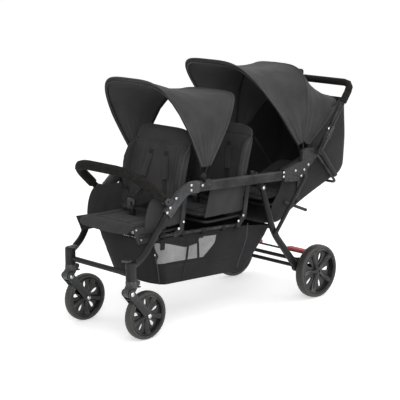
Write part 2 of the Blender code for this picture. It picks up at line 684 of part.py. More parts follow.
def make_rear_legs():
    fold = axis_at("rear_leg_axis", LEG_PIVOT[0], 0, LEG_PIVOT[1])
    axle = (REAR_AXLE_X, REAR_RADIUS)
    for side, way in SIDES:
        y = way * REAR_LEG_Y
        points = [(LEG_PIVOT[0], y, LEG_PIVOT[1]), (STAY_CROSS[0], y, STAY_CROSS[1]),
                  (LEG_FOOT_BEND[0], y, LEG_FOOT_BEND[1]), (axle[0], y, axle[1])]
        path = rounded(points, 0.050, 3)
        widths = [0.78] + [0.9] * 4 + [1.0] * 2 + [1.15] * 2 + [1.1]
        leg = flat_tube(f"rear_leg_{side}", path, oval(REAR_LEG_DEEP, REAR_LEG_THICK), BLACK_TUBE, fold,
                        widths)
        eye = REAR_LEG_DEEP * 0.78 / 2
        fuse(leg, rod("leg_eye", (LEG_PIVOT[0], y - way * (REAR_LEG_THICK / 2 - GAP), LEG_PIVOT[1]),
                      (LEG_PIVOT[0], y + way * (REAR_LEG_THICK / 2), LEG_PIVOT[1]), eye,
                      holder=fold, steps=14))
        foot = plate("leg_foot", link_outline(axle, (LEG_FOOT_BEND[0], LEG_FOOT_BEND[1]), 0.024, 0.0215),
                     REAR_LEG_THICK - 0.001, y, holder=fold)
        fuse(leg, foot)
        pin_in = way * (RAIL_Y - RAIL_THICK / 2 - 0.002)
        fuse(leg, rod("leg_pin", (LEG_PIVOT[0], pin_in, LEG_PIVOT[1]),
                      (LEG_PIVOT[0], way * (REAR_LEG_Y + REAR_LEG_THICK / 2 + 0.0012), LEG_PIVOT[1]),
                      PIN_RADIUS, holder=fold))
        cut(leg, rod("stay_bore", (STAY_CROSS[0], y - 0.03, STAY_CROSS[1]),
                     (STAY_CROSS[0], y + 0.03, STAY_CROSS[1]), PIN_RADIUS + PIN_PLAY, holder=fold))
        cut(leg, rod("axle_bore", (axle[0], y - 0.03, axle[1]), (axle[0], y + 0.03, axle[1]),
                     AXLE_TUBE_RADIUS + GAP, holder=fold))
        cut(leg, rod("rod_bore", (BRAKE_X, y - 0.03, BRAKE_Z), (BRAKE_X, y + 0.03, BRAKE_Z),
                     BRAKE_ROD_RADIUS + PIN_PLAY, holder=fold))

        wheel_y = way * REAR_TRACK / 2
        stay_y = way * (REAR_LEG_Y + REAR_LEG_THICK / 2 + 0.0012 + STAY_THICK / 2)
        pivot = axis_at(f"stay_axis_{side}", STAY_CROSS[0], stay_y, STAY_CROSS[1], fold)
        stay_path = [(STAY_CROSS[0], stay_y, STAY_CROSS[1]), (STAY_TOP[0], stay_y, STAY_TOP[1])]
        stay = flat_tube(f"frame_stay_{side}", stay_path, oval(STAY_DEEP, STAY_THICK), BLACK_TUBE, pivot)
        for x, z in (STAY_CROSS, STAY_TOP):
            fuse(stay, rod("stay_eye", (x, stay_y - STAY_THICK / 2, z), (x, stay_y + STAY_THICK / 2, z),
                           STAY_DEEP / 2 + 0.001, holder=pivot, steps=12))
        fuse(stay, rod("stay_pin", (STAY_CROSS[0], y - way * (REAR_LEG_THICK / 2), STAY_CROSS[1]),
                       (STAY_CROSS[0], stay_y + way * (STAY_THICK / 2 + 0.0015), STAY_CROSS[1]),
                       PIN_RADIUS, holder=pivot))

        spin = axis_at(f"rear_wheel_axis_{side}", axle[0], wheel_y, axle[1], fold)
        hub = make_wheel(f"rear_wheel_{side}", axle[0], wheel_y, REAR_RADIUS, REAR_WIDTH, way, spin)
        inner = wheel_y - way * (REAR_WIDTH / 2 + 0.001)
        cut(hub, rod("hub_bore", (axle[0], inner, axle[1]),
                     (axle[0], wheel_y + way * (REAR_WIDTH / 2 - 0.010), axle[1]),
                     HUB_BORE + PIN_PLAY, holder=spin))

    leg_outer = REAR_LEG_Y + REAR_LEG_THICK / 2
    beam = rod("rear_axle", (axle[0], -leg_outer, axle[1]), (axle[0], leg_outer, axle[1]),
               AXLE_TUBE_RADIUS, BLACK_TUBE, fold)
    stub = REAR_TRACK / 2 + REAR_WIDTH / 2 - 0.012
    fuse(beam, rod("axle_stub", (axle[0], -stub, axle[1]), (axle[0], stub, axle[1]), HUB_BORE, holder=fold))
    brace_end = REAR_LEG_Y - REAR_LEG_THICK / 2 - 0.0008
    fuse(beam, rod("axle_brace", (BRACE_X, -brace_end, BRACE_Z), (BRACE_X, brace_end, BRACE_Z),
                   BRACE_TUBE_RADIUS, holder=fold))
    for side, way in SIDES:
        fuse(beam, plate("axle_gusset", link_outline(axle, (BRACE_X, BRACE_Z), 0.013, 0.012), 0.005,
                         way * (brace_end - 0.004), holder=fold))

    brake_axis = axis_at("brake_axis", BRAKE_X, 0, BRAKE_Z, fold)
    rod_end = REAR_LEG_Y + REAR_LEG_THICK / 2 + 0.001
    brake = rod("brake_bar", (BRAKE_X, -rod_end, BRAKE_Z), (BRAKE_X, rod_end, BRAKE_Z), BRAKE_ROD_RADIUS,
                RED, brake_axis)
    for side, way in SIDES:
        middle_y = way * (0.185 - PEDAL_LONG / 2)
        fuse(brake, block("brake_pedal", (PEDAL_DEEP, PEDAL_LONG, PEDAL_THICK),
                          (BRAKE_X - PEDAL_DEEP / 2 + 0.003, middle_y, BRAKE_Z + 0.004), holder=brake_axis,
                          bevel=0.0035, turn=math.radians(-10)))


# Knuckles at the rails' rear ends

def make_knuckles():
    px, pz = HANDLE_PIVOT
    cx, cz = REAR_CANOPY_PIVOT
    for side, way in SIDES:
        y = way * RAIL_Y
        thick = RAIL_THICK + 2 * CASTING_WALL
        nose = RAIL_REAR_X + 0.030
        low = rail_z(nose) - RAIL_DEEP / 2 - CASTING_WALL
        high = rail_z(nose) + RAIL_DEEP / 2 + CASTING_WALL
        body_outline = [(nose, low), (nose, high), (nose - 0.070, high + 0.018),
                        (nose - 0.120, high + 0.026), (nose - 0.150, high + 0.010),
                        (nose - 0.148, low + 0.020), (nose - 0.118, low - 0.012),
                        (nose - 0.075, low - 0.008)]
        body = plate(f"rear_knuckle_{side}", body_outline, thick, y, GREY_CASTING)
        arm_y = way * (RAIL_Y + thick / 2 - ARM_THICK / 2)
        arm_outline = [(cx + 0.026, high + 0.006), (cx + 0.016, cz + 0.010), (cx, cz + 0.017),
                       (px + 0.018, pz + 0.016), (px, pz + 0.019), (px - 0.018, pz + 0.006),
                       (px - 0.014, pz - 0.014), (nose - 0.168, high - 0.004), (nose - 0.140, low + 0.030)]
        fuse(body, plate("knuckle_arm", arm_outline, ARM_THICK, arm_y))
        rail_end = [(RAIL_REAR_X - GAP, y, rail_z(RAIL_REAR_X - GAP)),
                    (RAIL_FRONT_X, y, rail_z(RAIL_FRONT_X))]
        cut(body, flat_tube("rail_socket", rail_end, oval(RAIL_DEEP + 2 * GAP, RAIL_THICK + 2 * GAP)))
        cut(body, rod("handle_bore", (px, 0, pz), (px, way * 0.3, pz), PIN_RADIUS + PIN_PLAY))


# Push handle: one bent tube in foam, hinged on the knuckles, with a latch on each side

def handle_line(way):
    """The handle's side tube, from below its pivot up to the push bar."""
    foot = Vector((HANDLE_PIVOT[0], way * HANDLE_Y, HANDLE_PIVOT[1]))
    head = Vector((PUSH_BAR[0], way * HANDLE_Y, PUSH_BAR[1]))
    return foot, head


def make_handle():
    fold = axis_at("handle_axis", HANDLE_PIVOT[0], 0, HANDLE_PIVOT[1])
    foot, head = handle_line(1)
    foot_right, head_right = handle_line(-1)
    path = rounded([foot, head, head_right, foot_right], HANDLE_CORNER, 3)
    frame = tube("push_handle", path, HANDLE_RADIUS, BLACK_TUBE, fold, 2)
    along = (head - foot).normalized()
    for side, way in SIDES:
        base, top = handle_line(way)
        sleeve_path = [base - along * 0.002, base + along * 0.085]
        shoe = oval(0.034, 2 * HANDLE_RADIUS - 0.001)
        fuse(frame, flat_tube("handle_shoe", sleeve_path, shoe, holder=fold))
        fuse(frame, rod("handle_eye", (base.x, base.y - HANDLE_RADIUS + 0.001, base.z),
                        (base.x, base.y + HANDLE_RADIUS - 0.001, base.z), 0.017, holder=fold, steps=14))
        inner = way * (SUPPORT_Y + 0.0015)
        fuse(frame, rod("handle_pin", (base.x, inner, base.z), (base.x, base.y, base.z), PIN_RADIUS,
                        holder=fold))
    start = foot.lerp(head, GRIP_START)
    start_right = foot_right.lerp(head_right, GRIP_START)
    grip_path = rounded([start, head, head_right, start_right], HANDLE_CORNER, 3)
    grip = tube("handle_grip", grip_path, GRIP_RADIUS, FOAM, fold, 3)
    clear = rounded([start - along * 0.01, head, head_right, start_right - along * 0.01], HANDLE_CORNER, 3)
    cut(grip, tube("grip_bore", clear, HANDLE_RADIUS + GAP, holder=fold))

    for side, way in SIDES:
        base, top = handle_line(way)
        outward = way * (HANDLE_RADIUS + GAP + 0.0030)
        latch_low = base + along * 0.072
        latch_high = latch_low + along * LATCH_LONG
        hinge = (latch_low.x, base.y, latch_low.z)
        latch_axis = axis_at(f"latch_axis_{side}", *hinge, fold)
        y = base.y + outward
        outline = link_outline((latch_low.x, latch_low.z), (latch_high.x, latch_high.z), 0.0095, 0.0065)
        latch = plate(f"fold_latch_{side}", outline, 0.0060, y, GREY_CASTING, latch_axis)
        fuse(latch, rod("latch_rivet", (hinge[0], y, hinge[2]), (hinge[0], y + way * 0.0048, hinge[2]),
                        0.0045, holder=latch_axis))


# Seats

def pad(name, long, half, thick, place, finish, holder=None, seams_along=(), seams_across=(),
        rows=9, columns=8, round_off=0.18):
    """A sewn cushion: crowned top and bottom, rim drawn in, with grooves where it is stitched.

    long runs along local X, half is half its width along local Y. Seams are given from -1 to 1.
    """
    def height(s, t):
        crown = ((1 - s ** 6) * (1 - t ** 6)) ** 0.5
        groove = sum(math.exp(-((t - seam) / 0.055) ** 2) for seam in seams_along)
        groove += sum(math.exp(-((s - seam) / 0.045) ** 2) for seam in seams_across)
        return thick / 2 * (0.25 + 0.75 * crown - 0.30 * min(groove, 1.0) * crown)

    shape = bmesh.new()
    tops = {}
    bottoms = {}
    for i in range(rows + 1):
        for j in range(columns + 1):
            s = math.sin(math.pi / 2 * (2 * i / rows - 1) * 0.96) / math.sin(math.pi / 2 * 0.96)
            t = math.sin(math.pi / 2 * (2 * j / columns - 1) * 0.96) / math.sin(math.pi / 2 * 0.96)
            x = long / 2 * s * math.sqrt(1 - round_off * t * t)
            y = half * t * math.sqrt(1 - round_off * s * s)
            h = height(s, t)
            tops[i, j] = shape.verts.new((x, y, h))
            bottoms[i, j] = shape.verts.new((x, y, -h * 0.6))
    for i in range(rows):
        for j in range(columns):
            shape.faces.new((tops[i, j], tops[i + 1, j], tops[i + 1, j + 1], tops[i, j + 1]))
            shape.faces.new((bottoms[i, j], bottoms[i, j + 1], bottoms[i + 1, j + 1], bottoms[i + 1, j]))
    rim = [(i, 0) for i in range(rows)] + [(rows, j) for j in range(columns)]
    rim += [(i, columns) for i in range(rows, 0, -1)] + [(0, j) for j in range(columns, 0, -1)]
    for one, two in zip(rim, rim[1:] + rim[:1]):
        shape.faces.new((tops[one], bottoms[one], bottoms[two], tops[two]))
    bmesh.ops.transform(shape, matrix=place, verts=shape.verts)
    bmesh.ops.recalc_face_normals(shape, faces=shape.faces)
    mesh = bpy.data.meshes.new(name)
    shape.to_mesh(mesh)
    shape.free()
    smooth(mesh, 60)
    return new_object(name, mesh, finish, holder)


def seat_hinge(number):
    """The (x, z) of a seat's recline hinge, 0 being the front seat."""
    return FRONT_HINGE_X - number * SEAT_PITCH, REAR_HINGE_Z if number == 2 else SEAT_HINGE_Z


def side_panel(x_rear, x_front, z_low, z_high, way):
    """Cloth between the rail and the seat: square at the back, swept in a curve at the front."""
    outline = [(x_rear, z_low), (x_rear + 0.008, z_high)]
    for i in range(6):
        turn = math.radians(90 - 18 * i)
        outline.append((x_front - PANEL_SWEEP * (1 - math.cos(turn)),
                        z_low + (z_high - z_low) * math.sin(turn)))
    return plate("side_panel", outline, SIDE_PANEL_THICK, way * SIDE_PANEL_Y)


def make_seat(name, number):
    """The seat itself: a sewn pad, and on the two open seats its side panels and front roll."""
    hinge_x, hinge_z = seat_hinge(number)
    place = Matrix.Translation((hinge_x + SEAT_START + SEAT_DEEP / 2, 0, hinge_z + SEAT_RISE))
    seat = pad(f"{name}_seat", SEAT_DEEP, SEAT_HALF, PAN_THICK, place, CLOTH, seams_along=(-0.55, 0.55),
               seams_across=(-0.2,))
    if number == 0:
        lip = Matrix.Translation((hinge_x + SEAT_START + SEAT_DEEP, 0, hinge_z + 0.003))
        tilt = Matrix.Rotation(math.radians(10), 4, "Y")
        fuse(seat, pad("front_roll", 0.075, SEAT_HALF, 0.034, lip @ tilt, None, rows=4))
    if number < 2:
        rear = hinge_x + 0.018
        for side, way in SIDES:
            fuse(seat, side_panel(rear, hinge_x + PANEL_REACH[number], hinge_z + 0.006, PANEL_TOP, way))
            seam_wide = SIDE_PANEL_Y - SEAT_HALF + 0.012
            seam_y = way * (SIDE_PANEL_Y + 0.001 - seam_wide / 2)
            fuse(seat, block("panel_seam", (0.160, seam_wide, 0.008),
                             (hinge_x + 0.120, seam_y, hinge_z + 0.012)))


def make_backrest(name, number):
    """A backrest that reclines about the seat's hinge, with padded wings on the two open seats."""
    hinge_x, hinge_z = seat_hinge(number)
    axis = axis_at(f"{name}_recline_axis", hinge_x, 0, hinge_z)
    lean = REAR_BACK_LEAN if number == 2 else BACK_LEAN
    long = REAR_BACK_LONG if number == 2 else BACK_LONG
    rise = Vector((-math.sin(lean), 0, math.cos(lean)))
    face = Vector((math.cos(lean), 0, math.sin(lean)))
    start = Vector((hinge_x, 0, hinge_z)) + rise * BACK_START
    turn = Matrix(((rise.x, 0, face.x), (0, -1, 0), (rise.z, 0, face.z))).to_4x4()
    place = Matrix.Translation(start + rise * long / 2) @ turn
    half = SEAT_HALF - 0.006
    back = pad(f"{name}_backrest", long, half, BACK_THICK, place, CLOTH, axis, seams_along=(-0.52, 0.52),
               seams_across=(0.30,))
    if number == 2:
        return
    low = start + rise * WING_LOW
    high = start + rise * WING_HIGH
    outline = [low - face * 0.004, high - face * 0.004, high + face * WING_REACH * 0.45 + rise * 0.006,
               high.lerp(low, 0.25) + face * WING_REACH * 0.95, high.lerp(low, 0.6) + face * WING_REACH,
               low + face * WING_REACH * 0.62]
    for side, way in SIDES:
        fuse(back, plate("back_wing", [(p.x, p.z) for p in outline], WING_THICK, way * (half - WING_INSET),
                         holder=axis))


def make_buckle(name, number):
    """The lap buckle between a child's legs: a shell on its strap, with a round release button."""
    hinge_x, hinge_z = seat_hinge(number)
    x = hinge_x + BUCKLE_AHEAD
    z = hinge_z + 0.074
    buckle = block(f"{name}_buckle", (0.004, 0.026, 0.050), (x, 0, hinge_z + 0.050), LINING)
    fuse(buckle, block("buckle_shell", (BUCKLE_THICK, BUCKLE_WIDE, BUCKLE_TALL), (x, 0, z), bevel=0.004))
    face_x = x + BUCKLE_THICK / 2
    well_x = face_x - BUTTON_DEEP
    cut(buckle, rod("button_well", (well_x, 0, z), (face_x + 0.02, 0, z),
                    BUTTON_RADIUS + PIN_PLAY, steps=16))
    axis = axis_at(f"{name}_button_axis", face_x, 0, z)
    rod(f"{name}_buckle_button", (well_x + BUTTON_TRAVEL + GAP, 0, z), (face_x + BUTTON_PROUD, 0, z),
        BUTTON_RADIUS, GREY_CASTING, axis, 16)


def make_seat_frame(name, number):
    """The bent tube under a seat, with the plates that hang it from the frame."""
    hinge_x, hinge_z = seat_hinge(number)
    tube_z = hinge_z - SEAT_TUBE_RADIUS - 0.0085
    rear_x = hinge_x + 0.030 if number == 2 else hinge_x
    front_x = hinge_x + SEAT_DEEP
    corners = [(rear_x, SEAT_TUBE_Y, tube_z), (front_x, SEAT_TUBE_Y, tube_z),
               (front_x, -SEAT_TUBE_Y, tube_z), (rear_x, -SEAT_TUBE_Y, tube_z)]
    frame = tube(f"{name}_seat_frame", rounded(corners, 0.030, 3), SEAT_TUBE_RADIUS, BLACK_TUBE)
    boss_x = hinge_x + 0.040 if number == 2 else hinge_x + 0.014
    boss = (boss_x, tube_z)
    if number == 2:
        outline = link_outline(boss, (hinge_x + 0.030, rail_z(hinge_x)), BRACKET_LOBE, BRACKET_LOBE)
    else:
        top = (hinge_x - 0.012, rail_z(hinge_x) - 0.004)
        outline = link_outline(boss, top, BRACKET_LOBE, BRACKET_LOBE)
    for side, way in SIDES:
        outer = way * (BRACKET_Y + BRACKET_THICK / 2)
        fuse(frame, plate("seat_bracket", outline, BRACKET_THICK, way * BRACKET_Y))
        if number < 2:
            foot = (hinge_x + 0.050, lower_rail_z(hinge_x + 0.050))
            fuse(frame, plate("bracket_foot", link_outline(boss, foot, BRACKET_LOBE + 0.001, BRACKET_LOBE),
                              BRACKET_THICK - 2 * GAP, way * BRACKET_Y))
        fuse(frame, rod("bracket_boss", (boss_x, way * SEAT_TUBE_Y, tube_z),
                        (boss_x, outer, tube_z), BOSS_RADIUS))
        if number == 1:
            rivet_end = way * (RAIL_Y - RAIL_THICK / 2 - GAP)
            fuse(frame, rod("rail_boss", (top[0], way * BRACKET_Y, top[1]),
                            (top[0], rivet_end, top[1]), 0.007))


def lower_rail_z(x):
    front_x, front_z, rear_x, rear_z = 0.498, 0.416, 0.028, 0.392
    return rear_z + (front_z - rear_z) * (x - rear_x) / (front_x - rear_x)


def make_lower_rails():
    for side, way in SIDES:
        y = way * LOWER_RAIL_Y
        ends = [(x, y, lower_rail_z(x)) for x in (0.023, 0.480)]
        tube(f"lower_rail_{side}", ends, LOWER_RAIL_RADIUS, BLACK_TUBE, sides=3)


# Canopies

def arch_line(pivot, reach, flare, turn, lean, blunt):
    """Points over a bow that stands on the pivot, widens from there and leans back at its top."""
    first = math.asin((COVER_START / reach) ** (blunt / 2))
    line = []
    for i in range(CLOTH_COLUMNS + 1):
        t = first + (math.pi - 2 * first) * i / CLOTH_COLUMNS
        c, s = math.cos(t), math.sin(t)
        r = reach * s ** (2 / blunt)
        wide = CANOPY_HALF + flare * min(1.0, r / COVER_FLARE)
        y = wide * math.copysign(abs(c) ** (2 / blunt), c)
        angle = turn + lean * s ** 4
        line.append(Vector((pivot[0] + r * math.cos(angle), y, pivot[1] + r * math.sin(angle))))
    return line


def arch_lines(pivot, *sizes):
    """The lines of a canopy's bows, from the rear one to the front one."""
    return [arch_line(pivot, *bow) for bow in zip(*sizes)]


def cloth_line(one, two, share, sag):
    """A row of the cloth between two bows, where it sags toward the seat."""
    line = []
    for a, b in zip(one, two):
        point = a.lerp(b, share)
        inward = Vector((a.x - b.x, 0, a.z - b.z)).cross(Vector((0, 1, 0))).normalized()
        across = min(1.0, (a - b).length / SAG_SPAN)
        line.append(point + inward * sag * across * math.sin(math.pi * share))
    return line


def bow_tube(name, pivot, line, behind, holder, hub_y, setback):
    """A bow that lies under the cloth along a line of it, and ends in a hub on each side."""
    middle = Vector((pivot[0], 0, pivot[1]))
    over = []
    for i, point in enumerate(line):
        before = line[max(i - 1, 0)]
        after = line[min(i + 1, len(line) - 1)]
        back = (behind[i] - point).normalized()
        out = (after - before).cross(back).normalized()
        if out.dot(point - middle) < 0:
            out = -out
        taper = min(1.0, (point - middle).xz.length / COVER_FLARE)
        over.append(point + back * setback * taper - out * (COVER_THICK + BOW_RADIUS + BOW_ROOM))
    lead = (over[0] - Vector((pivot[0], over[0].y, pivot[1]))).normalized() * 0.030
    inner = lead * 0.3
    path = [Vector((pivot[0] + inner.x, hub_y, pivot[1] + inner.z)),
            Vector((pivot[0] + lead.x, hub_y, pivot[1] + lead.z))]
    path += over
    path += [Vector((p.x, -p.y, p.z)) for p in (path[1], path[0])]
    bow_piece = tube(name, path, BOW_RADIUS, BLACK_TUBE, holder, sides=1)
    for way in (1, -1):
        fuse(bow_piece, rod("bow_hub", (pivot[0], way * (hub_y - HUB_THICK / 2), pivot[1]),
                            (pivot[0], way * (hub_y + HUB_THICK / 2), pivot[1]), HUB_RADIUS, holder=holder))
    return bow_piece


def cover(name, lines, sag):
    """The canopy cloth, stretched from bow to bow."""
    rows = []
    for one, two in zip(lines, lines[1:]):
        rows += [cloth_line(one, two, k / CLOTH_ROWS, sag) for k in range(CLOTH_ROWS)]
    rows.append(lines[-1])
    shape = bmesh.new()
    grid = [[shape.verts.new(point) for point in row] for row in rows]
    for one, two in zip(grid, grid[1:]):
        for i in range(len(one) - 1):
            shape.faces.new((one[i], two[i], two[i + 1], one[i + 1]))
    bmesh.ops.recalc_face_normals(shape, faces=shape.faces)
    if sum(face.normal.z * face.calc_area() for face in shape.faces) < 0:
        bmesh.ops.reverse_faces(shape, faces=shape.faces)
    mesh = bpy.data.meshes.new(name)
    shape.to_mesh(mesh)
    shape.free()
    smooth(mesh, 60)
    cloth = new_object(name, mesh, CLOTH)
    wall = cloth.modifiers.new("cloth", "SOLIDIFY")
    wall.thickness = COVER_THICK
    wall.offset = -1.0
    wall.use_even_offset = True
    return cloth


def hub_pins(piece, pivot, inner, outer):
    """The pins on a fixed bow that the moving bow's hubs turn on."""
    for side, way in SIDES:
        fuse(piece, rod("hub_pin", (pivot[0], way * inner, pivot[1]), (pivot[0], way * outer, pivot[1]),
                        HUB_PIN_RADIUS))


def hub_bores(piece, pivot, holder):
    for side, way in SIDES:
        cut(piece, rod("hub_bore", (pivot[0], 0, pivot[1]), (pivot[0], way * 0.3, pivot[1]),
                       HUB_PIN_RADIUS + PIN_PLAY, holder=holder))


def make_front_canopy():
    pivot = FRONT_CANOPY_PIVOT
    fixed_y = RAIL_Y - RAIL_THICK / 2 - 0.0010 - BOW_RADIUS
    moving_y = fixed_y - HUB_THICK - HUB_GAP
    rear, front = arch_lines(pivot, FRONT_BOW_REACH, FRONT_BOW_FLARE, FRONT_BOW_TURN, FRONT_BOW_LEAN,
                             FRONT_BOW_BLUNT)
    fixed = bow_tube("front_canopy_rear_bow", pivot, rear, front, None, fixed_y, EDGE_SETBACK)
    hub_pins(fixed, pivot, moving_y - HUB_THICK / 2, fixed_y)
    clip_top = rail_z(pivot[0]) + RAIL_DEEP / 2
    for side, way in SIDES:
        reach = RAIL_Y + RAIL_THICK / 2 + GAP + CLIP_WALL - fixed_y
        fuse(fixed, block("rail_clip", (CLIP_LONG, reach, CLIP_WALL),
                          (pivot[0], way * (fixed_y + reach / 2), clip_top + RUN + CLIP_WALL / 2)))
        fuse(fixed, block("rail_clip_leg", (CLIP_LONG, CLIP_WALL, CLIP_DROP),
                          (pivot[0], way * (RAIL_Y + RAIL_THICK / 2 + GAP + CLIP_WALL / 2),
                           clip_top + RUN + CLIP_WALL - CLIP_DROP / 2)))
        fuse(fixed, rod("hub_post", (pivot[0], way * fixed_y, pivot[1]),
                        (pivot[0], way * fixed_y, clip_top + RUN), 0.0035))
    swing = axis_at("front_canopy_axis", pivot[0], 0, pivot[1])
    moving = bow_tube("front_canopy_front_bow", pivot, front, rear, swing, moving_y, EDGE_SETBACK)
    hub_bores(moving, pivot, swing)
    cover("front_canopy_cover", [rear, front], FRONT_SAG)


def make_rear_canopy():
    pivot = REAR_CANOPY_PIVOT
    fixed_y = RAIL_Y + RAIL_THICK / 2 + CASTING_WALL - ARM_THICK - 0.0010 - BOW_RADIUS
    moving_y = fixed_y - HUB_THICK - HUB_GAP
    tail, rear, front = arch_lines(pivot, REAR_BOW_REACH, REAR_BOW_FLARE, REAR_BOW_TURN, REAR_BOW_LEAN,
                                   REAR_BOW_BLUNT)
    level = [point + a - b for point, a, b in zip(rear, tail, front)]
    fixed = bow_tube("rear_canopy_rear_bow", pivot, rear, level, None, fixed_y, 0.0)
    hub_pins(fixed, pivot, moving_y - HUB_THICK / 2, fixed_y)
    swing = axis_at("rear_canopy_axis", pivot[0], 0, pivot[1])
    moving = bow_tube("rear_canopy_front_bow", pivot, front, rear, swing, moving_y, EDGE_SETBACK)
    hub_bores(moving, pivot, swing)
    cover("rear_canopy_cover", [tail, rear, front], REAR_SAG)


def make_bumper():
    px, pz = BUMPER_PIVOT
    swing = axis_at("bumper_axis", px, 0, pz)
    ahead = Vector((math.cos(BUMPER_RISE), 0, math.sin(BUMPER_RISE)))
    hinge = Vector((px, RAIL_Y, pz))
    foot = hinge + ahead * BUMPER_START
    corner = Vector((BUMPER_REACH, BUMPER_CORNER_Y, BUMPER_TOP_Z))
    half = [foot, corner]
    path = rounded(half + [Vector((p.x, -p.y, p.z)) for p in reversed(half)], BUMPER_BEND, 5)
    bar = tube("bumper_bar", path, BUMPER_RADIUS, FOAM, swing, 3)
    for side, way in SIDES:
        y = way * RAIL_Y
        tip = hinge + ahead * (BUMPER_START + 0.012)
        tongue = link_outline(BUMPER_PIVOT, (tip.x, tip.z), TONGUE_RADIUS, TONGUE_RADIUS)
        fuse(bar, plate("bumper_tongue", tongue, TONGUE_THICK, y, holder=swing))
        half_ear = way * (RAIL_THICK / 2 + CASTING_WALL)
        fuse(bar, rod("bumper_pin", (px, y - half_ear, pz), (px, y + half_ear, pz),
                      PIN_RADIUS, holder=swing))


# Cloth shell behind the reclined rear seat, with the bent bar that carries it

def inset_line(points, by):
    """The points moved inward by a wall, the line running with its inner side on the left."""
    moved = []
    for i, (x, z) in enumerate(points):
        before = points[max(i - 1, 0)]
        after = points[min(i + 1, len(points) - 1)]
        dx, dz = after[0] - before[0], after[1] - before[1]
        size = math.hypot(dx, dz)
        moved.append((x + dz / size * by, z - dx / size * by))
    return moved


def make_shell():
    shell = plate("rear_shell", SHELL_BASE + SHELL_EDGE, 2 * SHELL_HALF, 0, CLOTH)
    inner = inset_line(SHELL_BASE, SHELL_WALL)
    lead_in = [(inner[0][0] + 0.10, inner[0][1])]
    lead_out = [(inner[-1][0], 0.95), (0.03, 0.95)]
    cut(shell, plate("shell_room", lead_in + inner + lead_out, 2 * (SHELL_HALF - SHELL_WALL), 0))
    hinge_x, hinge_z = seat_hinge(2)
    boss = (hinge_x + 0.040, hinge_z - SEAT_TUBE_RADIUS - 0.0085)
    cut(shell, rod("boss_hole", (boss[0], -0.25, boss[1]), (boss[0], 0.25, boss[1]), BOSS_RADIUS + RUN))


def make_support_bar():
    """The bent bar that the shell rests on, hung from the handle's pivots."""
    px, pz = HANDLE_PIVOT
    y = SUPPORT_Y
    low_x, low_z = SUPPORT_LOW
    corners = [(px, y, pz), (low_x, y, low_z), (low_x, -y, low_z), (px, -y, pz)]
    bar = tube("back_support_bar", rounded(corners, 0.024, 3), SUPPORT_RADIUS, BLACK_TUBE)
    for side, way in SIDES:
        fuse(bar, rod("support_eye", (px, way * (y - SUPPORT_RADIUS), pz),
                      (px, way * (y + SUPPORT_RADIUS - 0.0004), pz), 0.0095))
        cut(bar, rod("support_bore", (px, way * (y + 0.0008), pz), (px, way * 0.3, pz),
                     PIN_RADIUS + PIN_PLAY))


def basket_ring(share, wall):
    """One level of the basket, share running from its floor to its rim."""
    floor_front, floor_rear = BASKET_FLOOR
    rim_front, rim_rear = BASKET_RIM
    front = floor_front[0] + (rim_front[0] - floor_front[0]) * share - wall
    rear = floor_rear[0] + (rim_rear[0] - floor_rear[0]) * share + wall * 1.6
    front_z = floor_front[1] + (rim_front[1] - floor_front[1]) * share
    rear_z = floor_rear[1] + (rim_rear[1] - floor_rear[1]) * share
    half = BASKET_BOTTOM_HALF + (BASKET_TOP_HALF - BASKET_BOTTOM_HALF) * min(1.0, share * 1.3) - wall
    points = []
    sides = {90: range(1, BASKET_SIDE_STEPS), 270: range(BASKET_SIDE_STEPS - 1, 0, -1)}
    for cx, cy, first in ((front, half, 0), (rear, half, 90), (rear, -half, 180), (front, -half, 270)):
        for step in sides.get(first, ()):
            span = front - rear - 2 * BASKET_CORNER
            points.append((front - BASKET_CORNER - span * step / BASKET_SIDE_STEPS, cy))
        corner_x = cx - math.copysign(BASKET_CORNER, cx - (front + rear) / 2)
        corner_y = cy - math.copysign(BASKET_CORNER, cy)
        for i in range(4):
            turn = math.radians(first + 30 * i)
            points.append((corner_x + BASKET_CORNER * math.cos(turn),
                           corner_y + BASKET_CORNER * math.sin(turn)))
    ring = []
    for x, y in points:
        along = max(0.0, (front - x) / (front - rear))
        fall = along ** (1 + BASKET_RIM_HOLD * share)
        ring.append(Vector((x, y, front_z + (rear_z - front_z) * fall)))
    return ring


def make_basket():
    outer = [basket_ring(share, 0.0) for share in (0.0, 0.08, 0.36, 0.68, 1.0)]
    basket = loft("storage_basket", outer, LINING)
    inner = []
    for share in (0.0, 0.10, 0.36, 0.68, 1.0):
        ring = basket_ring(share, BASKET_WALL)
        lift = BASKET_WALL if share < 0.05 else 0.0
        inner.append([point + Vector((0, 0, lift)) for point in ring])
    inner.append([point + Vector((0, 0, 0.02)) for point in basket_ring(1.0, BASKET_WALL)])
    cut(basket, loft("basket_room", inner))


make_rails()
make_elbows()
make_front_legs()
make_steering_frame()
make_casters()
make_rear_legs()
make_knuckles()
make_handle()
for seat_number, seat_name in enumerate(("front", "middle", "rear")):
    make_seat(seat_name, seat_number)
    make_backrest(seat_name, seat_number)
    make_buckle(seat_name, seat_number)
    make_seat_frame(seat_name, seat_number)
make_lower_rails()
make_front_canopy()
make_rear_canopy()
make_bumper()
make_shell()
make_support_bar()
make_basket()
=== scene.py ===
"""Looks of a tandem stroller for three children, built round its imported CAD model."""
import json
import math

import bmesh
import bpy
import numpy as np
from mathutils import Matrix, Vector
from mathutils.bvhtree import BVHTree

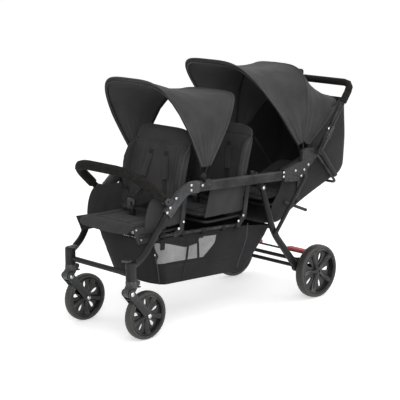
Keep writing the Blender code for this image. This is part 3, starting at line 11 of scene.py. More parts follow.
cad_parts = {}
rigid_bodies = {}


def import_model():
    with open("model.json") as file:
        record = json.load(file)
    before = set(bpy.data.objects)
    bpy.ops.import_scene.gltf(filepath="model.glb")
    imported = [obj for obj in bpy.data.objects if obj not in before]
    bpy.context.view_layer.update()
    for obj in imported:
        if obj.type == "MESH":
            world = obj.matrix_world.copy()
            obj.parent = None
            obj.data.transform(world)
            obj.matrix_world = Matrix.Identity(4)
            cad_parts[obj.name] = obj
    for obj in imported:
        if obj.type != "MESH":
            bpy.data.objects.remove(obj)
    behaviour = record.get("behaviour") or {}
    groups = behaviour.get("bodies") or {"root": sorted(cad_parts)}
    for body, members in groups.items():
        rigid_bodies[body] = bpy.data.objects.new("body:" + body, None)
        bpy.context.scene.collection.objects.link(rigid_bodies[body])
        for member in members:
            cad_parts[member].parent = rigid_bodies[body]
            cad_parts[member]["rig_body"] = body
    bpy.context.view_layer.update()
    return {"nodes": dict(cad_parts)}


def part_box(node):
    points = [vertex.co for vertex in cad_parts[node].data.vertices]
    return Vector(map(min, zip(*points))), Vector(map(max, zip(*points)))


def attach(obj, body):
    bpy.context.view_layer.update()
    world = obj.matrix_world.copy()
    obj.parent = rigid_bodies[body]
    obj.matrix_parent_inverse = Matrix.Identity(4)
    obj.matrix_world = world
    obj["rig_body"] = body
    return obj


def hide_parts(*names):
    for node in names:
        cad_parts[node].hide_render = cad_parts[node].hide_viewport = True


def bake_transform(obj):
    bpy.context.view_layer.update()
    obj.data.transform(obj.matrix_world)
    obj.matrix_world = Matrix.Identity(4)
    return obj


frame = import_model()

# Studio: a pale floor that keeps the stroller's shadow, a white room round it and soft lamps.
# The camera stands ahead of the stroller on its left, a little above the handle.
SIDES = (("left", 1), ("right", -1))
FOCAL_LENGTH, PICTURE_WIDE, SENSOR_WIDE = 1367.83, 400, 36.0
turn, rise = math.radians(135.739), math.radians(11.825)
away = Vector((math.sin(turn) * math.cos(rise), -math.cos(turn) * math.cos(rise), math.sin(rise)))
camera = bpy.data.objects.new("camera", bpy.data.cameras.new("camera"))
bpy.context.scene.collection.objects.link(camera)
camera.location = (4.1290, 4.1684, 1.6948)
camera.rotation_mode = "QUATERNION"
camera.rotation_quaternion = (-away).to_track_quat("-Z", "Y")
camera.data.sensor_width = SENSOR_WIDE
camera.data.lens = FOCAL_LENGTH / PICTURE_WIDE * SENSOR_WIDE
camera.data.clip_end = 100
bpy.context.scene.camera = camera
bpy.context.scene.view_settings.view_transform = "Standard"


def feed(tree, node, inputs):
    """Links sockets to a node's inputs and sets the values of the others."""
    for key, value in dict(inputs).items():
        if isinstance(value, bpy.types.NodeSocket):
            tree.links.new(value, node.inputs[key])
        else:
            node.inputs[key].default_value = value


def add(tree, kind, inputs=(), **settings):
    """A node with its settings, and its inputs linked or given a value."""
    node = tree.nodes.new(kind)
    for key, value in settings.items():
        setattr(node, key, value)
    feed(tree, node, inputs)
    return node


def maths(tree, operation, *values):
    """What a maths node gives for its values, each a socket or a number."""
    return add(tree, "ShaderNodeMath", dict(enumerate(values)), operation=operation).outputs[0]


def new_finish(name):
    """A new material, its tree and its surface shader."""
    made = bpy.data.materials.new(name)
    made.use_nodes = True
    return made, made.node_tree, made.node_tree.nodes["Principled BSDF"]


def seen_white(tree, strength):
    """A strength that only the camera, mirrors and glass see."""
    ray = add(tree, "ShaderNodeLightPath").outputs
    seen = maths(tree, "MAXIMUM", ray["Is Camera Ray"], ray["Is Glossy Ray"])
    also = maths(tree, "MAXIMUM", seen, ray["Is Transmission Ray"])
    made = add(tree, "ShaderNodeMapRange", {"Value": also, "To Min": strength[0], "To Max": strength[1]})
    return made.outputs["Result"]


room = bpy.data.worlds.new("studio_room")
room.use_nodes = True
room_light = room.node_tree.nodes["Background"]
room_light.inputs["Color"].default_value = (1.0, 1.0, 1.0, 1.0)
room.node_tree.links.new(seen_white(room.node_tree, (0.62, 1.0)), room_light.inputs["Strength"])
bpy.context.scene.world = room

FLOOR_HALF, FLOOR_Z = 40, -0.0006
floor_mesh = bpy.data.meshes.new("studio_floor")
corners = [(x * FLOOR_HALF, y * FLOOR_HALF, FLOOR_Z) for x, y in ((-1, -1), (1, -1), (1, 1), (-1, 1))]
floor_mesh.from_pydata(corners, [], [(0, 1, 2, 3)])
floor = bpy.data.objects.new("studio_floor", floor_mesh)
bpy.context.scene.collection.objects.link(floor)
pale, tree, surface = new_finish("pale_floor")
feed(tree, surface, {"Base Color": (0.86, 0.86, 0.86, 1.0), "Roughness": 0.9, "Specular IOR Level": 0.1,
                     "Emission Color": (1.0, 1.0, 1.0, 1.0),
                     "Emission Strength": seen_white(tree, (0.0, 0.46))})
floor_mesh.materials.append(pale)

LAMPS_AIM = Vector((0, 0, 0.55))
for name, place, size, power in (("key_lamp", (2.6, 3.0, 2.6), 2.6, 88),
                                 ("top_lamp", (-0.6, 0.4, 3.8), 3.2, 30),
                                 ("rim_lamp", (-3.0, 1.2, 1.9), 2.0, 26)):
    lamp = bpy.data.lights.new(name, "AREA")
    lamp.size = size
    lamp.energy = power
    holder = bpy.data.objects.new(name, lamp)
    bpy.context.scene.collection.objects.link(holder)
    holder.location = place
    holder.rotation_mode = "QUATERNION"
    holder.rotation_quaternion = (LAMPS_AIM - Vector(place)).to_track_quat("-Z", "Y")


# Tubes: flat oval steel rails and legs and bent round tube, powder coated satin black, with the
# coat's fine grain, and a painted highlight that lightens the bends and edges.
def new_group(name, takes, gives):
    """A shader group with its sockets, given as (name, kind, default)."""
    group = bpy.data.node_groups.new(name, "ShaderNodeTree")
    for socket, kind, value in takes:
        made = group.interface.new_socket(socket, in_out="INPUT", socket_type=kind)
        if value is not None:
            made.default_value = value
    for socket, kind in gives:
        group.interface.new_socket(socket, in_out="OUTPUT", socket_type=kind)
    return group, group.nodes.new("NodeGroupInput"), group.nodes.new("NodeGroupOutput")


def mixed(tree, share, first, second):
    """A colour between two, each a socket or a colour."""
    return add(tree, "ShaderNodeMix", {0: share, 6: first, 7: second}, data_type="RGBA").outputs[2]


grain_group, taken, given = new_group("moulded_grain",
                                      (("Place", "NodeSocketVector", None),
                                       ("Grain", "NodeSocketFloat", 900.0),
                                       ("Blotch", "NodeSocketFloat", 18.0)),
                                      (("Tone", "NodeSocketFloat"), ("Height", "NodeSocketFloat"),
                                       ("Rub", "NodeSocketFloat")))
fine = add(grain_group, "ShaderNodeTexNoise",
           {"Vector": taken.outputs["Place"], "Scale": taken.outputs["Grain"], "Detail": 3.0,
            "Roughness": 0.6})
broad = add(grain_group, "ShaderNodeTexNoise",
            {"Vector": taken.outputs["Place"], "Scale": taken.outputs["Blotch"], "Detail": 4.0})
# Pointiness lightens the sharp edges and bends, broken into patches: a painted highlight.
sharp = add(grain_group, "ShaderNodeNewGeometry")
highlight_edges = add(grain_group, "ShaderNodeMapRange", {"Value": sharp.outputs["Pointiness"], "From Min": 0.515,
                                               "From Max": 0.60})
patch = add(grain_group, "ShaderNodeMapRange", {"Value": broad.outputs["Fac"], "From Min": 0.35,
                                                "From Max": 0.70})
tone = maths(grain_group, "ADD", fine.outputs["Fac"], broad.outputs["Fac"])
feed(grain_group, given, {"Tone": maths(grain_group, "MULTIPLY", tone, 0.5), "Height": fine.outputs["Fac"],
                          "Rub": maths(grain_group, "MULTIPLY", highlight_edges.outputs["Result"],
                                       patch.outputs["Result"])})


def hard_finish(name, dark, light, highlight_colour, roughness, grain, depth, metallic=0.0, blotch=18.0,
                shine=0.25):
    """Paint, moulding or rubber: a grainy surface, mottled from dark to light, with a painted highlight at
    its edges.
    """
    made, tree, surface = new_finish(name)
    place = add(tree, "ShaderNodeTexCoord").outputs["Object"]
    grained = add(tree, "ShaderNodeGroup", node_tree=grain_group)
    feed(tree, grained, {"Place": place, "Grain": grain, "Blotch": blotch})
    mottled = mixed(tree, grained.outputs["Tone"], (*dark, 1), (*light, 1))
    # The third colour is laid on the sharp edges as a painted highlight.
    highlighted = mixed(tree, grained.outputs["Rub"], mottled, (*highlight_colour, 1))
    rough = add(tree, "ShaderNodeMapRange", {"Value": grained.outputs["Tone"], "To Min": roughness - 0.06,
                                             "To Max": roughness + 0.06})
    bump = add(tree, "ShaderNodeBump", {"Height": grained.outputs["Height"], "Strength": 0.5,
                                        "Distance": depth})
    feed(tree, surface, {"Base Color": highlighted, "Roughness": rough.outputs["Result"], "Metallic": metallic,
                         "Specular IOR Level": shine, "Normal": bump.outputs["Normal"]})
    return made


# Each hard finish's third colour is its painted edge highlight.
tube_black = hard_finish("satin_black_tube", (0.006, 0.006, 0.0063), (0.012, 0.012, 0.0125),
                         (0.06, 0.06, 0.064), 0.40, 1400.0, 0.0002, shine=0.18)


def new_piece(name, mesh, finish):
    """An object in the scene with one material."""
    made = bpy.data.objects.new(name, mesh)
    bpy.context.scene.collection.objects.link(made)
    made.data.materials.clear()
    made.data.materials.append(finish)
    return made


def crisp(mesh, angle):
    """Smooth shading, with a sharp line wherever faces meet at more than the angle."""
    mesh.shade_smooth()
    mesh.set_sharp_from_angle(angle=math.radians(angle))


def finished(node, finish, edge=0.0, angle=38):
    """A welded copy of a node's mesh with round curves and softened edges, which stands for the node."""
    shape = bmesh.new()
    shape.from_mesh(frame["nodes"][node].data)
    bmesh.ops.remove_doubles(shape, verts=shape.verts, dist=2e-5)
    bmesh.ops.dissolve_limit(shape, angle_limit=math.radians(1.0), verts=shape.verts, edges=shape.edges)
    mesh = bpy.data.meshes.new(f"{node}_finished")
    shape.to_mesh(mesh)
    shape.free()
    crisp(mesh, angle)
    piece = new_piece(f"{node}_finished", mesh, finish)
    if edge:
        softened = piece.modifiers.new("soft_edge", "BEVEL")
        softened.width = edge
        softened.segments = 2
        softened.limit_method = "ANGLE"
        softened.angle_limit = math.radians(angle)
        softened.use_clamp_overlap = True
        softened.harden_normals = True
    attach(piece, frame["nodes"][node]["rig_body"])
    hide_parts(node)
    return piece


for side, way in SIDES:
    for node in ("side_rail", "lower_rail", "front_leg", "rear_leg", "frame_stay"):
        finished(f"{node}_{side}", tube_black, 0.0006)
for node in ("front_steering_frame", "rear_axle", "back_support_bar", "front_seat_frame", "middle_seat_frame",
             "rear_seat_frame", "push_handle", "front_canopy_rear_bow", "front_canopy_front_bow",
             "rear_canopy_rear_bow", "rear_canopy_front_bow"):
    finished(node, tube_black, 0.0004)

# Mouldings: elbows and knuckles over the rails' ends, caster bodies, forks, latches and locks,
# of grey glass-filled nylon with the grain of its mould and a painted highlight on its edges.
casting_grey = hard_finish("grey_moulding", (0.013, 0.0135, 0.0145), (0.042, 0.043, 0.046),
                           (0.16, 0.16, 0.165), 0.42, 420.0, 0.0005, blotch=150.0)
casting_dark = hard_finish("dark_moulding", (0.008, 0.008, 0.0085), (0.022, 0.022, 0.023),
                           (0.12, 0.12, 0.125), 0.44, 420.0, 0.0005, blotch=150.0, shine=0.2)
for side, way in SIDES:
    for node in ("front_elbow", "caster_body", "caster_fork", "swivel_lock", "fold_latch"):
        finished(f"{node}_{side}", casting_grey, 0.0009)
    finished(f"rear_knuckle_{side}", casting_dark, 0.0009)


# Rivets and bolts: domed bright steel heads, each on its own washer flange, set where the mouldings
# hold the rails, where the brackets hang and at every pivot.
def walled(shape, rings, closed=False):
    """Faces from each ring of points to the next, with a cap at both ends unless they close up."""
    sides = len(rings[0])
    for one, two in zip(rings, rings[1:] + rings[:1] if closed else rings[1:]):
        for k in range(sides):
            m = (k + 1) % sides
            shape.faces.new((one[k], one[m], two[m], two[k]))
    if not closed:
        shape.faces.new(list(reversed(rings[0])))
        shape.faces.new(rings[-1])


def mesh_from(shape, name, angle=None):
    """A shape as a mesh with its faces turned outward, and smooth up to an angle where one is given."""
    bmesh.ops.recalc_face_normals(shape, faces=shape.faces)
    mesh = bpy.data.meshes.new(name)
    shape.to_mesh(mesh)
    shape.free()
    if angle:
        crisp(mesh, angle)
    return mesh


def swept(name, path, section, finish, up=Vector((0, 0, 1)), closed=False):
    """A closed section of (across, out) points carried along a path; up is what out leans toward."""
    points = [Vector(p) for p in path]
    count = len(points)
    shape = bmesh.new()
    rings = []
    for i, point in enumerate(points):
        before = points[i - 1] if closed else points[max(i - 1, 0)]
        after = points[(i + 1) % count] if closed else points[min(i + 1, count - 1)]
        ahead = (after - before).normalized()
        lean = Vector(up[i]) if isinstance(up, list) else up
        across = ahead.cross(lean)
        if across.length < 1e-4:
            across = ahead.orthogonal()
        across.normalize()
        out = across.cross(ahead)
        rings.append([shape.verts.new(point + across * a + out * b) for a, b in section])
    walled(shape, rings, closed)
    return new_piece(name, mesh_from(shape, name, 50), finish)


def disc(radius, sides=8):
    """A round section for a swept piece."""
    return [(radius * math.cos(2 * math.pi * k / sides), radius * math.sin(2 * math.pi * k / sides))
            for k in range(sides)]


def new_tree(name, sizes):
    """A geometry tree with named sizes; gives the tree, its input and its sizes' identifiers."""
    tree = bpy.data.node_groups.new(name, "GeometryNodeTree")
    tree.interface.new_socket("Geometry", in_out="INPUT", socket_type="NodeSocketGeometry")
    keys = {size: tree.interface.new_socket(size, in_out="INPUT", socket_type="NodeSocketFloat").identifier
            for size in sizes}
    tree.interface.new_socket("Geometry", in_out="OUTPUT", socket_type="NodeSocketGeometry")
    return tree, tree.nodes.new("NodeGroupInput"), keys


def close_tree(tree, geometry, finish):
    """Ends a tree: instances made real, smooth and of one material."""
    real = add(tree, "GeometryNodeRealizeInstances", {0: geometry})
    smooth = add(tree, "GeometryNodeSetShadeSmooth", {0: real.outputs[0]})
    done = add(tree, "GeometryNodeSetMaterial", {0: smooth.outputs[0], "Material": finish})
    tree.links.new(done.outputs[0], tree.nodes.new("NodeGroupOutput").inputs[0])


def settled(piece):
    """Keeps what a piece's modifiers make as its plain mesh."""
    mesh = bpy.data.meshes.new_from_object(piece.evaluated_get(bpy.context.evaluated_depsgraph_get()))
    piece.modifiers.clear()
    piece.data = mesh
    return piece


def grown(piece, tree, keys, sizes):
    """Runs a tree on a piece and keeps what it makes."""
    made = piece.modifiers.new("grown", "NODES")
    made.node_group = tree
    for size, value in sizes.items():
        made[keys[size]] = value
    return settled(piece)


bright_steel = hard_finish("bright_steel", (0.42, 0.42, 0.41), (0.62, 0.62, 0.60), (0.80, 0.80, 0.78), 0.30,
                           900.0, 0.0001, metallic=1.0, shine=0.5)
rivet_tree, taken, rivet_sizes = new_tree("rivet_heads", ("Head Radius", "Dome Height", "Flange Radius"))
ball = add(rivet_tree, "GeometryNodeMeshUVSphere",
           {"Segments": 14, "Rings": 8, "Radius": taken.outputs["Head Radius"]})
flatness = maths(rivet_tree, "DIVIDE", taken.outputs["Dome Height"], taken.outputs["Head Radius"])
flat_ball = add(rivet_tree, "ShaderNodeCombineXYZ", {0: 1.0, 1: 1.0, 2: flatness})
dome = add(rivet_tree, "GeometryNodeTransform", {0: ball.outputs["Mesh"], "Scale": flat_ball.outputs[0]})
flange = add(rivet_tree, "GeometryNodeMeshCylinder",
             {"Vertices": 16, "Radius": taken.outputs["Flange Radius"], "Depth": 0.0012})
head = add(rivet_tree, "GeometryNodeJoinGeometry")
rivet_tree.links.new(dome.outputs[0], head.inputs[0])
rivet_tree.links.new(flange.outputs["Mesh"], head.inputs[0])
toward = add(rivet_tree, "GeometryNodeInputNamedAttribute", {"Name": "toward"}, data_type="FLOAT_VECTOR")
faced = add(rivet_tree, "FunctionNodeAlignRotationToVector", {"Vector": toward.outputs[0]}, axis="Z")
heads = add(rivet_tree, "GeometryNodeInstanceOnPoints",
            {0: taken.outputs["Geometry"], "Instance": head.outputs[0], "Rotation": faced.outputs[0]})
close_tree(rivet_tree, heads.outputs[0], bright_steel)
CASTER_Y, FORK_HALF, CASTING_Y, BRACKET_Y = 0.192, 0.0279, 0.2286, 0.2018
PIVOT_BOLT, FRONT_AXLE = (0.654, 0.209), (0.563, 0.101)


def rivets(name, body, places, radius=0.0042, tall=0.0024, flange=0.0056):
    """Heads at (x, y, z) places; each faces along Y, away from what it holds."""
    mesh = bpy.data.meshes.new(name)
    mesh.from_pydata(places, [], [])
    out = mesh.attributes.new("toward", "FLOAT_VECTOR", "POINT")
    held = CASTER_Y if "bolt" in name else 0.0
    out.data.foreach_set("vector", [v for _, y, _ in places
                                    for v in (0.0, math.copysign(1.0, y * (abs(y) - held)), 0.0)])
    piece = grown(new_piece(name, mesh, bright_steel), rivet_tree, rivet_sizes,
                  {"Head Radius": radius, "Dome Height": tall, "Flange Radius": flange})
    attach(piece, body)


for side, way in SIDES:
    rivets(f"elbow_rivets_{side}", "frame", [(x, way * CASTING_Y, z) for x, z in (
        (0.3372, 0.6108), (0.3373, 0.5904), (0.422, 0.5686), (0.4553, 0.5343), (0.472, 0.5163))], 0.0036)
    rivets(f"knuckle_rivets_{side}", "frame", [(x, way * CASTING_Y, z) for x, z in (
        (-0.2215, 0.5905), (-0.2210, 0.5721), (-0.2986, 0.5887), (-0.3556, 0.5866), (-0.3369, 0.5607),
        (-0.3825, 0.6057))], 0.0038)
    rivets(f"bracket_rivets_{side}", "frame", [(x, way * BRACKET_Y, z) for x, z in (
        (0.356, 0.457), (0.384, 0.433), (0.003, 0.430), (0.033, 0.410))], 0.0046)
    for bolt, (x, z) in (("caster", PIVOT_BOLT), ("axle", FRONT_AXLE)):
        rivets(f"{bolt}_bolt_{side}", f"fork_{side}",
               [(x, way * CASTER_Y + s * FORK_HALF, z) for s in (1, -1)], 0.0056, 0.0030, 0.0088)
    rivets(f"leg_rivet_{side}", "rear_legs", [(-0.0900, way * 0.2330, 0.541)], 0.0048, 0.0028, 0.0072)
    rivets(f"handle_rivet_{side}", "handle", [(-0.4941, way * 0.2490, 0.7568)], 0.0052, 0.0026, 0.0066)


# Wheels: a foam-filled tyre on a black nylon hub with five drop-shaped openings. Each tyre is one
# turned ring with a crowned tread, cut across its shoulders.
tyre_rubber = hard_finish("tyre_rubber", (0.017, 0.0168, 0.0148), (0.038, 0.0375, 0.033),
                          (0.070, 0.070, 0.062), 0.50, 900.0, 0.0005, blotch=40.0, shine=0.4)
hub_black = hard_finish("wheel_moulding", (0.005, 0.005, 0.0053), (0.009, 0.009, 0.0095), (0.05, 0.05, 0.05),
                        0.26, 1500.0, 0.0002, shine=0.35)


def ring_of(name, profile, middle, steps, finish, cross=None):
    """A ring turned about an axle along Y from a closed profile of (radius, y), cross moving its points."""
    shape = bmesh.new()
    rows = []
    for i in range(steps):
        a = 2 * math.pi * i / steps
        row = []
        for k, (r, y) in enumerate(profile):
            r += cross(i, k) if cross else 0.0
            row.append(shape.verts.new((middle[0] + r * math.cos(a), middle[1] + y,
                                        middle[2] + r * math.sin(a))))
        rows.append(row)
    walled(shape, rows, closed=True)
    return new_piece(name, mesh_from(shape, name, 40), finish)


def tyre(name, middle, radius, width, deep, body):
    """A tyre with a crowned, cut tread and a bead that sits on the rim."""
    half = width / 2
    crown = [(radius - 0.0105, -half + 0.0010), (radius - 0.0060, -half + 0.0004),
             (radius - 0.0026, -half + 0.0035), (radius - 0.0008, -half + 0.0085),
             (radius - 0.0001, -half * 0.30), (radius - 0.0001, half * 0.30),
             (radius - 0.0008, half - 0.0085), (radius - 0.0026, half - 0.0035),
             (radius - 0.0060, half - 0.0004), (radius - 0.0105, half - 0.0010)]
    bead = [(radius - deep + 0.0012, half - 0.0022), (radius - deep + 0.0002, half - 0.0060),
            (radius - deep + 0.0002, -half + 0.0060), (radius - deep + 0.0012, -half + 0.0022)]

    def tread(i, k):
        return -0.0010 if i % 4 == 0 and k in (2, 3, 6, 7) else 0.0

    made = ring_of(name, crown + bead, middle, 144, tyre_rubber, tread)
    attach(made, body)
    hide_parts(name[:-7] + "_tyre")


def web(rim, boss, opens, ends, turned_by):
    """A disc with five drop-shaped openings, 8 mm thick, its points (x, z) about the axle."""
    radii = [boss - 0.002, (boss + opens) / 2]
    radii += [opens + (ends - opens) * k / 9 for k in range(10)] + [rim - 0.006]
    shape = bmesh.new()
    for sector in range(5):
        rows = []
        for r in radii:
            s = min(1.0, max(0.0, (r - opens) / (ends - opens)))
            half = 0.001 + 0.115 * rim * math.sin(math.pi * s) ** 0.7 * (0.30 + 0.70 * s)
            a = half / r
            edge = math.pi / 5
            turns = [-edge + (edge - a) * k / 4 for k in range(5)] + [0.0]
            turns += [a + (edge - a) * k / 4 for k in range(5)]
            middle = turned_by + sector * 2 * edge
            rows.append([shape.verts.new((r * math.cos(middle + t), 0, r * math.sin(middle + t)))
                         for t in turns])
        for j in range(len(radii) - 1):
            for i in range(10):
                if i in (4, 5) and 2 <= j <= 10:
                    continue
                shape.faces.new((rows[j][i], rows[j][i + 1], rows[j + 1][i + 1], rows[j + 1][i]))
    bmesh.ops.remove_doubles(shape, verts=shape.verts, dist=1e-5)
    for vert in shape.verts:
        vert.co.y = -0.004
    bmesh.ops.recalc_face_normals(shape, faces=shape.faces)
    if sum(face.normal.y * face.calc_area() for face in shape.faces) > 0:
        bmesh.ops.reverse_faces(shape, faces=shape.faces)
    walls = bmesh.ops.extrude_face_region(shape, geom=list(shape.faces))
    for item in walls["geom"]:
        if isinstance(item, bmesh.types.BMVert):
            item.co.y = 0.004
    return mesh_from(shape, "web")


def hub(name, middle, rim, width, body, node, turned_by):
    """A rim band with rolled lips, a web with drop-shaped openings, five broad spokes and a boss."""
    half = width / 2
    band = ring_of("band", [(rim, -half + 0.0035), (rim, half - 0.0035), (rim - 0.0030, half - 0.0012),
                            (rim - 0.0065, half - 0.0020), (rim - 0.0085, half - 0.0085),
                            (rim - 0.0085, -half + 0.0085), (rim - 0.0065, -half + 0.0020),
                            (rim - 0.0030, -half + 0.0012)], (0, 0, 0), 80, hub_black)
    boss = ring_of("boss", [(0.0055, -half + 0.001), (0.0055, half - 0.001), (0.0120, half - 0.001),
                            (0.0150, half - 0.0035), (0.0185, 0.0050), (0.0185, -0.0050),
                            (0.0150, -half + 0.0035), (0.0120, -half + 0.001)], (0, 0, 0), 40, hub_black)
    shape = bmesh.new()
    for part in (band, boss):
        shape.from_mesh(part.data)
        bpy.data.objects.remove(part)
    shape.from_mesh(web(rim, 0.018, rim * 0.36, rim * 0.84, turned_by))
    for spoke in range(5):
        a = turned_by + (spoke + 0.5) * 2 * math.pi / 5
        out, across = Vector((math.cos(a), 0, math.sin(a))), Vector((-math.sin(a), 0, math.cos(a)))
        rings = []
        for k in range(9):
            s = k / 8
            r = 0.015 + (rim - 0.022) * s
            wide = 0.0100 + 0.0070 * s ** 1.5
            tall = (half - 0.004) * (1 - 0.42 * math.sin(math.pi * min(1.0, s * 1.1)))
            ring = []
            for c, q in ((-1, 0), (-0.86, 0.62), (-0.45, 1), (0.45, 1), (0.86, 0.62), (1, 0), (0.86, -0.62),
                         (0.45, -1), (-0.45, -1), (-0.86, -0.62)):
                ring.append(shape.verts.new(out * r + across * (c * wide) + Vector((0, q * tall, 0))))
            rings.append(ring)
        walled(shape, rings)
    mesh = mesh_from(shape, name)
    mesh.transform(Matrix.Translation(middle))
    crisp(mesh, 40)
    made = new_piece(name, mesh, hub_black)
    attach(made, body)
    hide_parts(node)


REAR_AXLE, REAR_WHEEL_Y, TYRE_DEEP = (-0.412, 0.120), 0.2585, 0.017
for side, way in SIDES:
    for end, (x, radius), y, width, turned_by in (("front", FRONT_AXLE, CASTER_Y, 0.037, 0.25),
                                                  ("rear", REAR_AXLE, REAR_WHEEL_Y, 0.043, 0.62)):
        middle = (x, way * y, radius)
        tyre(f"{end}_wheel_{side}_rubber", middle, radius, width, TYRE_DEEP, f"{end}_wheel_{side}")
        hub(f"{end}_wheel_{side}_spokes", middle, radius - TYRE_DEEP - 0.0004, width, f"{end}_wheel_{side}",
            f"{end}_wheel_{side}_hub", turned_by)

# Foot brake: a steel rod across the rear legs with a red nylon pedal moulded on at each end, its
# tread ribbed against a slipping shoe.
brake_red = hard_finish("red_moulding", (0.36, 0.008, 0.016), (0.50, 0.016, 0.028), (0.62, 0.10, 0.10), 0.34,
                        900.0, 0.0003, shine=0.5)
ROD_X, ROD_HALF, ROD_Z, PEDAL_X, PEDAL_Y, PEDAL_TOP = -0.400, 0.225, 0.192, -0.414, 0.157, 0.2036
brake_rod = swept("brake_rod", [(ROD_X, -ROD_HALF, ROD_Z), (ROD_X, ROD_HALF, ROD_Z)], disc(0.0045, 14),
                  tube_black)
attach(brake_rod, "brake")
for side, way in SIDES:
    outline = [(-0.3975, 0.082), (-0.3975, 0.232), (-0.4225, 0.232), (-0.4300, 0.222), (-0.4305, 0.092),
               (-0.4225, 0.082)]
    levels = []
    shape = bmesh.new()
    for z, inset in ((0.1880, 0.94), (0.1905, 1.0), (0.1990, 1.0), (0.2025, 0.95), (0.2032, 0.88)):
        levels.append([shape.verts.new((PEDAL_X + (px - PEDAL_X) * inset,
                                        way * (PEDAL_Y + (py - PEDAL_Y) * (inset * 0.2 + 0.8)), z))
                       for px, py in outline])
    walled(shape, levels)
    for rib in range(7):
        y = way * (0.102 + rib * 0.018)
        made = bmesh.ops.create_cube(shape, size=1.0)["verts"]
        bmesh.ops.scale(shape, vec=(0.024, 0.0045, 0.0016), verts=made)
        bmesh.ops.translate(shape, vec=(PEDAL_X, y, PEDAL_TOP), verts=made)
    pedal = new_piece(f"brake_pedal_{side}", mesh_from(shape, f"brake_pedal_{side}", 30), brake_red)
    softened = pedal.modifiers.new("soft_edge", "BEVEL")
    softened.width, softened.segments = 0.0008, 2
    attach(pedal, "brake")
    if way > 0:
        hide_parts("brake_bar")

# Foam: the bumper bar's thick sleeve and the push handle's grip, closed-cell foam with a fine
# open skin, slid over the bent tubes.
foam_black = hard_finish("black_foam", (0.0062, 0.0060, 0.0055), (0.0140, 0.0132, 0.0120),
                         (0.024, 0.023, 0.021), 0.90, 520.0, 0.0010, blotch=90.0, shine=0.12)
for node in ("bumper_bar", "handle_grip"):
    finished(node, foam_black)

# Canopies: one woven polyester cloth each, sewn at its edges over the bows and drawn tight between
# them, dark inside and charcoal outside, with a hem band, double-needle seams and a piped edge.
weave_group, taken, given = new_group("woven_cloth",
                                      (("Place", "NodeSocketVector", None),
                                       ("Threads", "NodeSocketFloat", 900.0),
                                       ("Folds", "NodeSocketFloat", 9.0)),
                                      (("Tone", "NodeSocketFloat"), ("Height", "NodeSocketFloat")))
turns = add(weave_group, "ShaderNodeVectorMath", {0: taken.outputs["Place"]}, operation="SCALE")
feed(weave_group, turns, {"Scale": maths(weave_group, "MULTIPLY", taken.outputs["Threads"], 2 * math.pi)})
axes = add(weave_group, "ShaderNodeSeparateXYZ", {0: turns.outputs[0]})
wave = [maths(weave_group, "SINE", axes.outputs[k]) for k in range(3)]
cross = [maths(weave_group, "MULTIPLY", wave[a], wave[b]) for a, b in ((0, 1), (1, 2), (2, 0))]
threads = maths(weave_group, "ADD", maths(weave_group, "ADD", cross[0], cross[1]), cross[2])
fleck = add(weave_group, "ShaderNodeTexNoise", {"Vector": taken.outputs["Place"], "Scale": 420.0,
                                                "Detail": 3.0})
shade = add(weave_group, "ShaderNodeTexNoise",
            {"Vector": taken.outputs["Place"], "Scale": taken.outputs["Folds"], "Detail": 4.0})
flecked = maths(weave_group, "MULTIPLY_ADD", fleck.outputs["Fac"], 0.55, shade.outputs["Fac"])
level = add(weave_group, "ShaderNodeMapRange", {"Value": flecked, "From Min": 0.45, "From Max": 1.10})
raised = maths(weave_group, "MULTIPLY_ADD", threads, 0.5, fleck.outputs["Fac"])
feed(weave_group, given, {"Tone": level.outputs["Result"], "Height": raised})


def cloth_finish(name, dark, light, threads, depth, lining=None, folds=9.0, sheen=0.08):
    """Woven cloth; a lining gives the side that faces inward its own darker colour."""
    made, tree, surface = new_finish(name)
    place = add(tree, "ShaderNodeTexCoord").outputs["Object"]
    woven = add(tree, "ShaderNodeGroup", node_tree=weave_group)
    feed(tree, woven, {"Place": place, "Threads": threads, "Folds": folds})
    colour = mixed(tree, woven.outputs["Tone"], (*dark, 1), (*light, 1))
    if lining:
        inner = add(tree, "ShaderNodeAttribute", attribute_name="inner_side")
        under = mixed(tree, woven.outputs["Tone"], (*lining, 1), tuple(c * 1.5 for c in lining) + (1,))
        colour = mixed(tree, inner.outputs["Fac"], colour, under)
    rough = add(tree, "ShaderNodeMapRange", {"Value": woven.outputs["Tone"], "To Min": 0.92, "To Max": 0.80})
    bump = add(tree, "ShaderNodeBump", {"Height": woven.outputs["Height"], "Strength": 0.6,
                                        "Distance": depth})
    feed(tree, surface, {"Base Color": colour, "Roughness": rough.outputs["Result"], "Sheen Weight": sheen,
                         "Sheen Roughness": 0.45, "Specular IOR Level": 0.15,
                         "Normal": bump.outputs["Normal"]})
    return made


canopy_cloth = cloth_finish("canopy_cloth", (0.029, 0.029, 0.0295), (0.056, 0.056, 0.057), 700.0, 0.0003,
                            lining=(0.050, 0.050, 0.050))
ACROSS = 96
START, FLARE, CANOPY_HALF = 0.050, 0.250, 0.212


def arch(pivot, reach, flare, turn, lean, blunt):
    """The line of a bow: a blunted half ellipse about the pivot, flared outward and leant forward."""
    first = math.asin((START / reach) ** (blunt / 2))
    line = []
    for i in range(ACROSS + 1):
        t = first + (math.pi - 2 * first) * i / ACROSS
        c, s = math.cos(t), math.sin(t)
        r = reach * s ** (2 / blunt)
        wide = CANOPY_HALF + flare * min(1.0, r / FLARE)
        angle = math.radians(turn + lean * s ** 4)
        line.append(Vector((pivot[0] + r * math.cos(angle), wide * math.copysign(abs(c) ** (2 / blunt), c),
                            pivot[1] + r * math.sin(angle))))
    return line


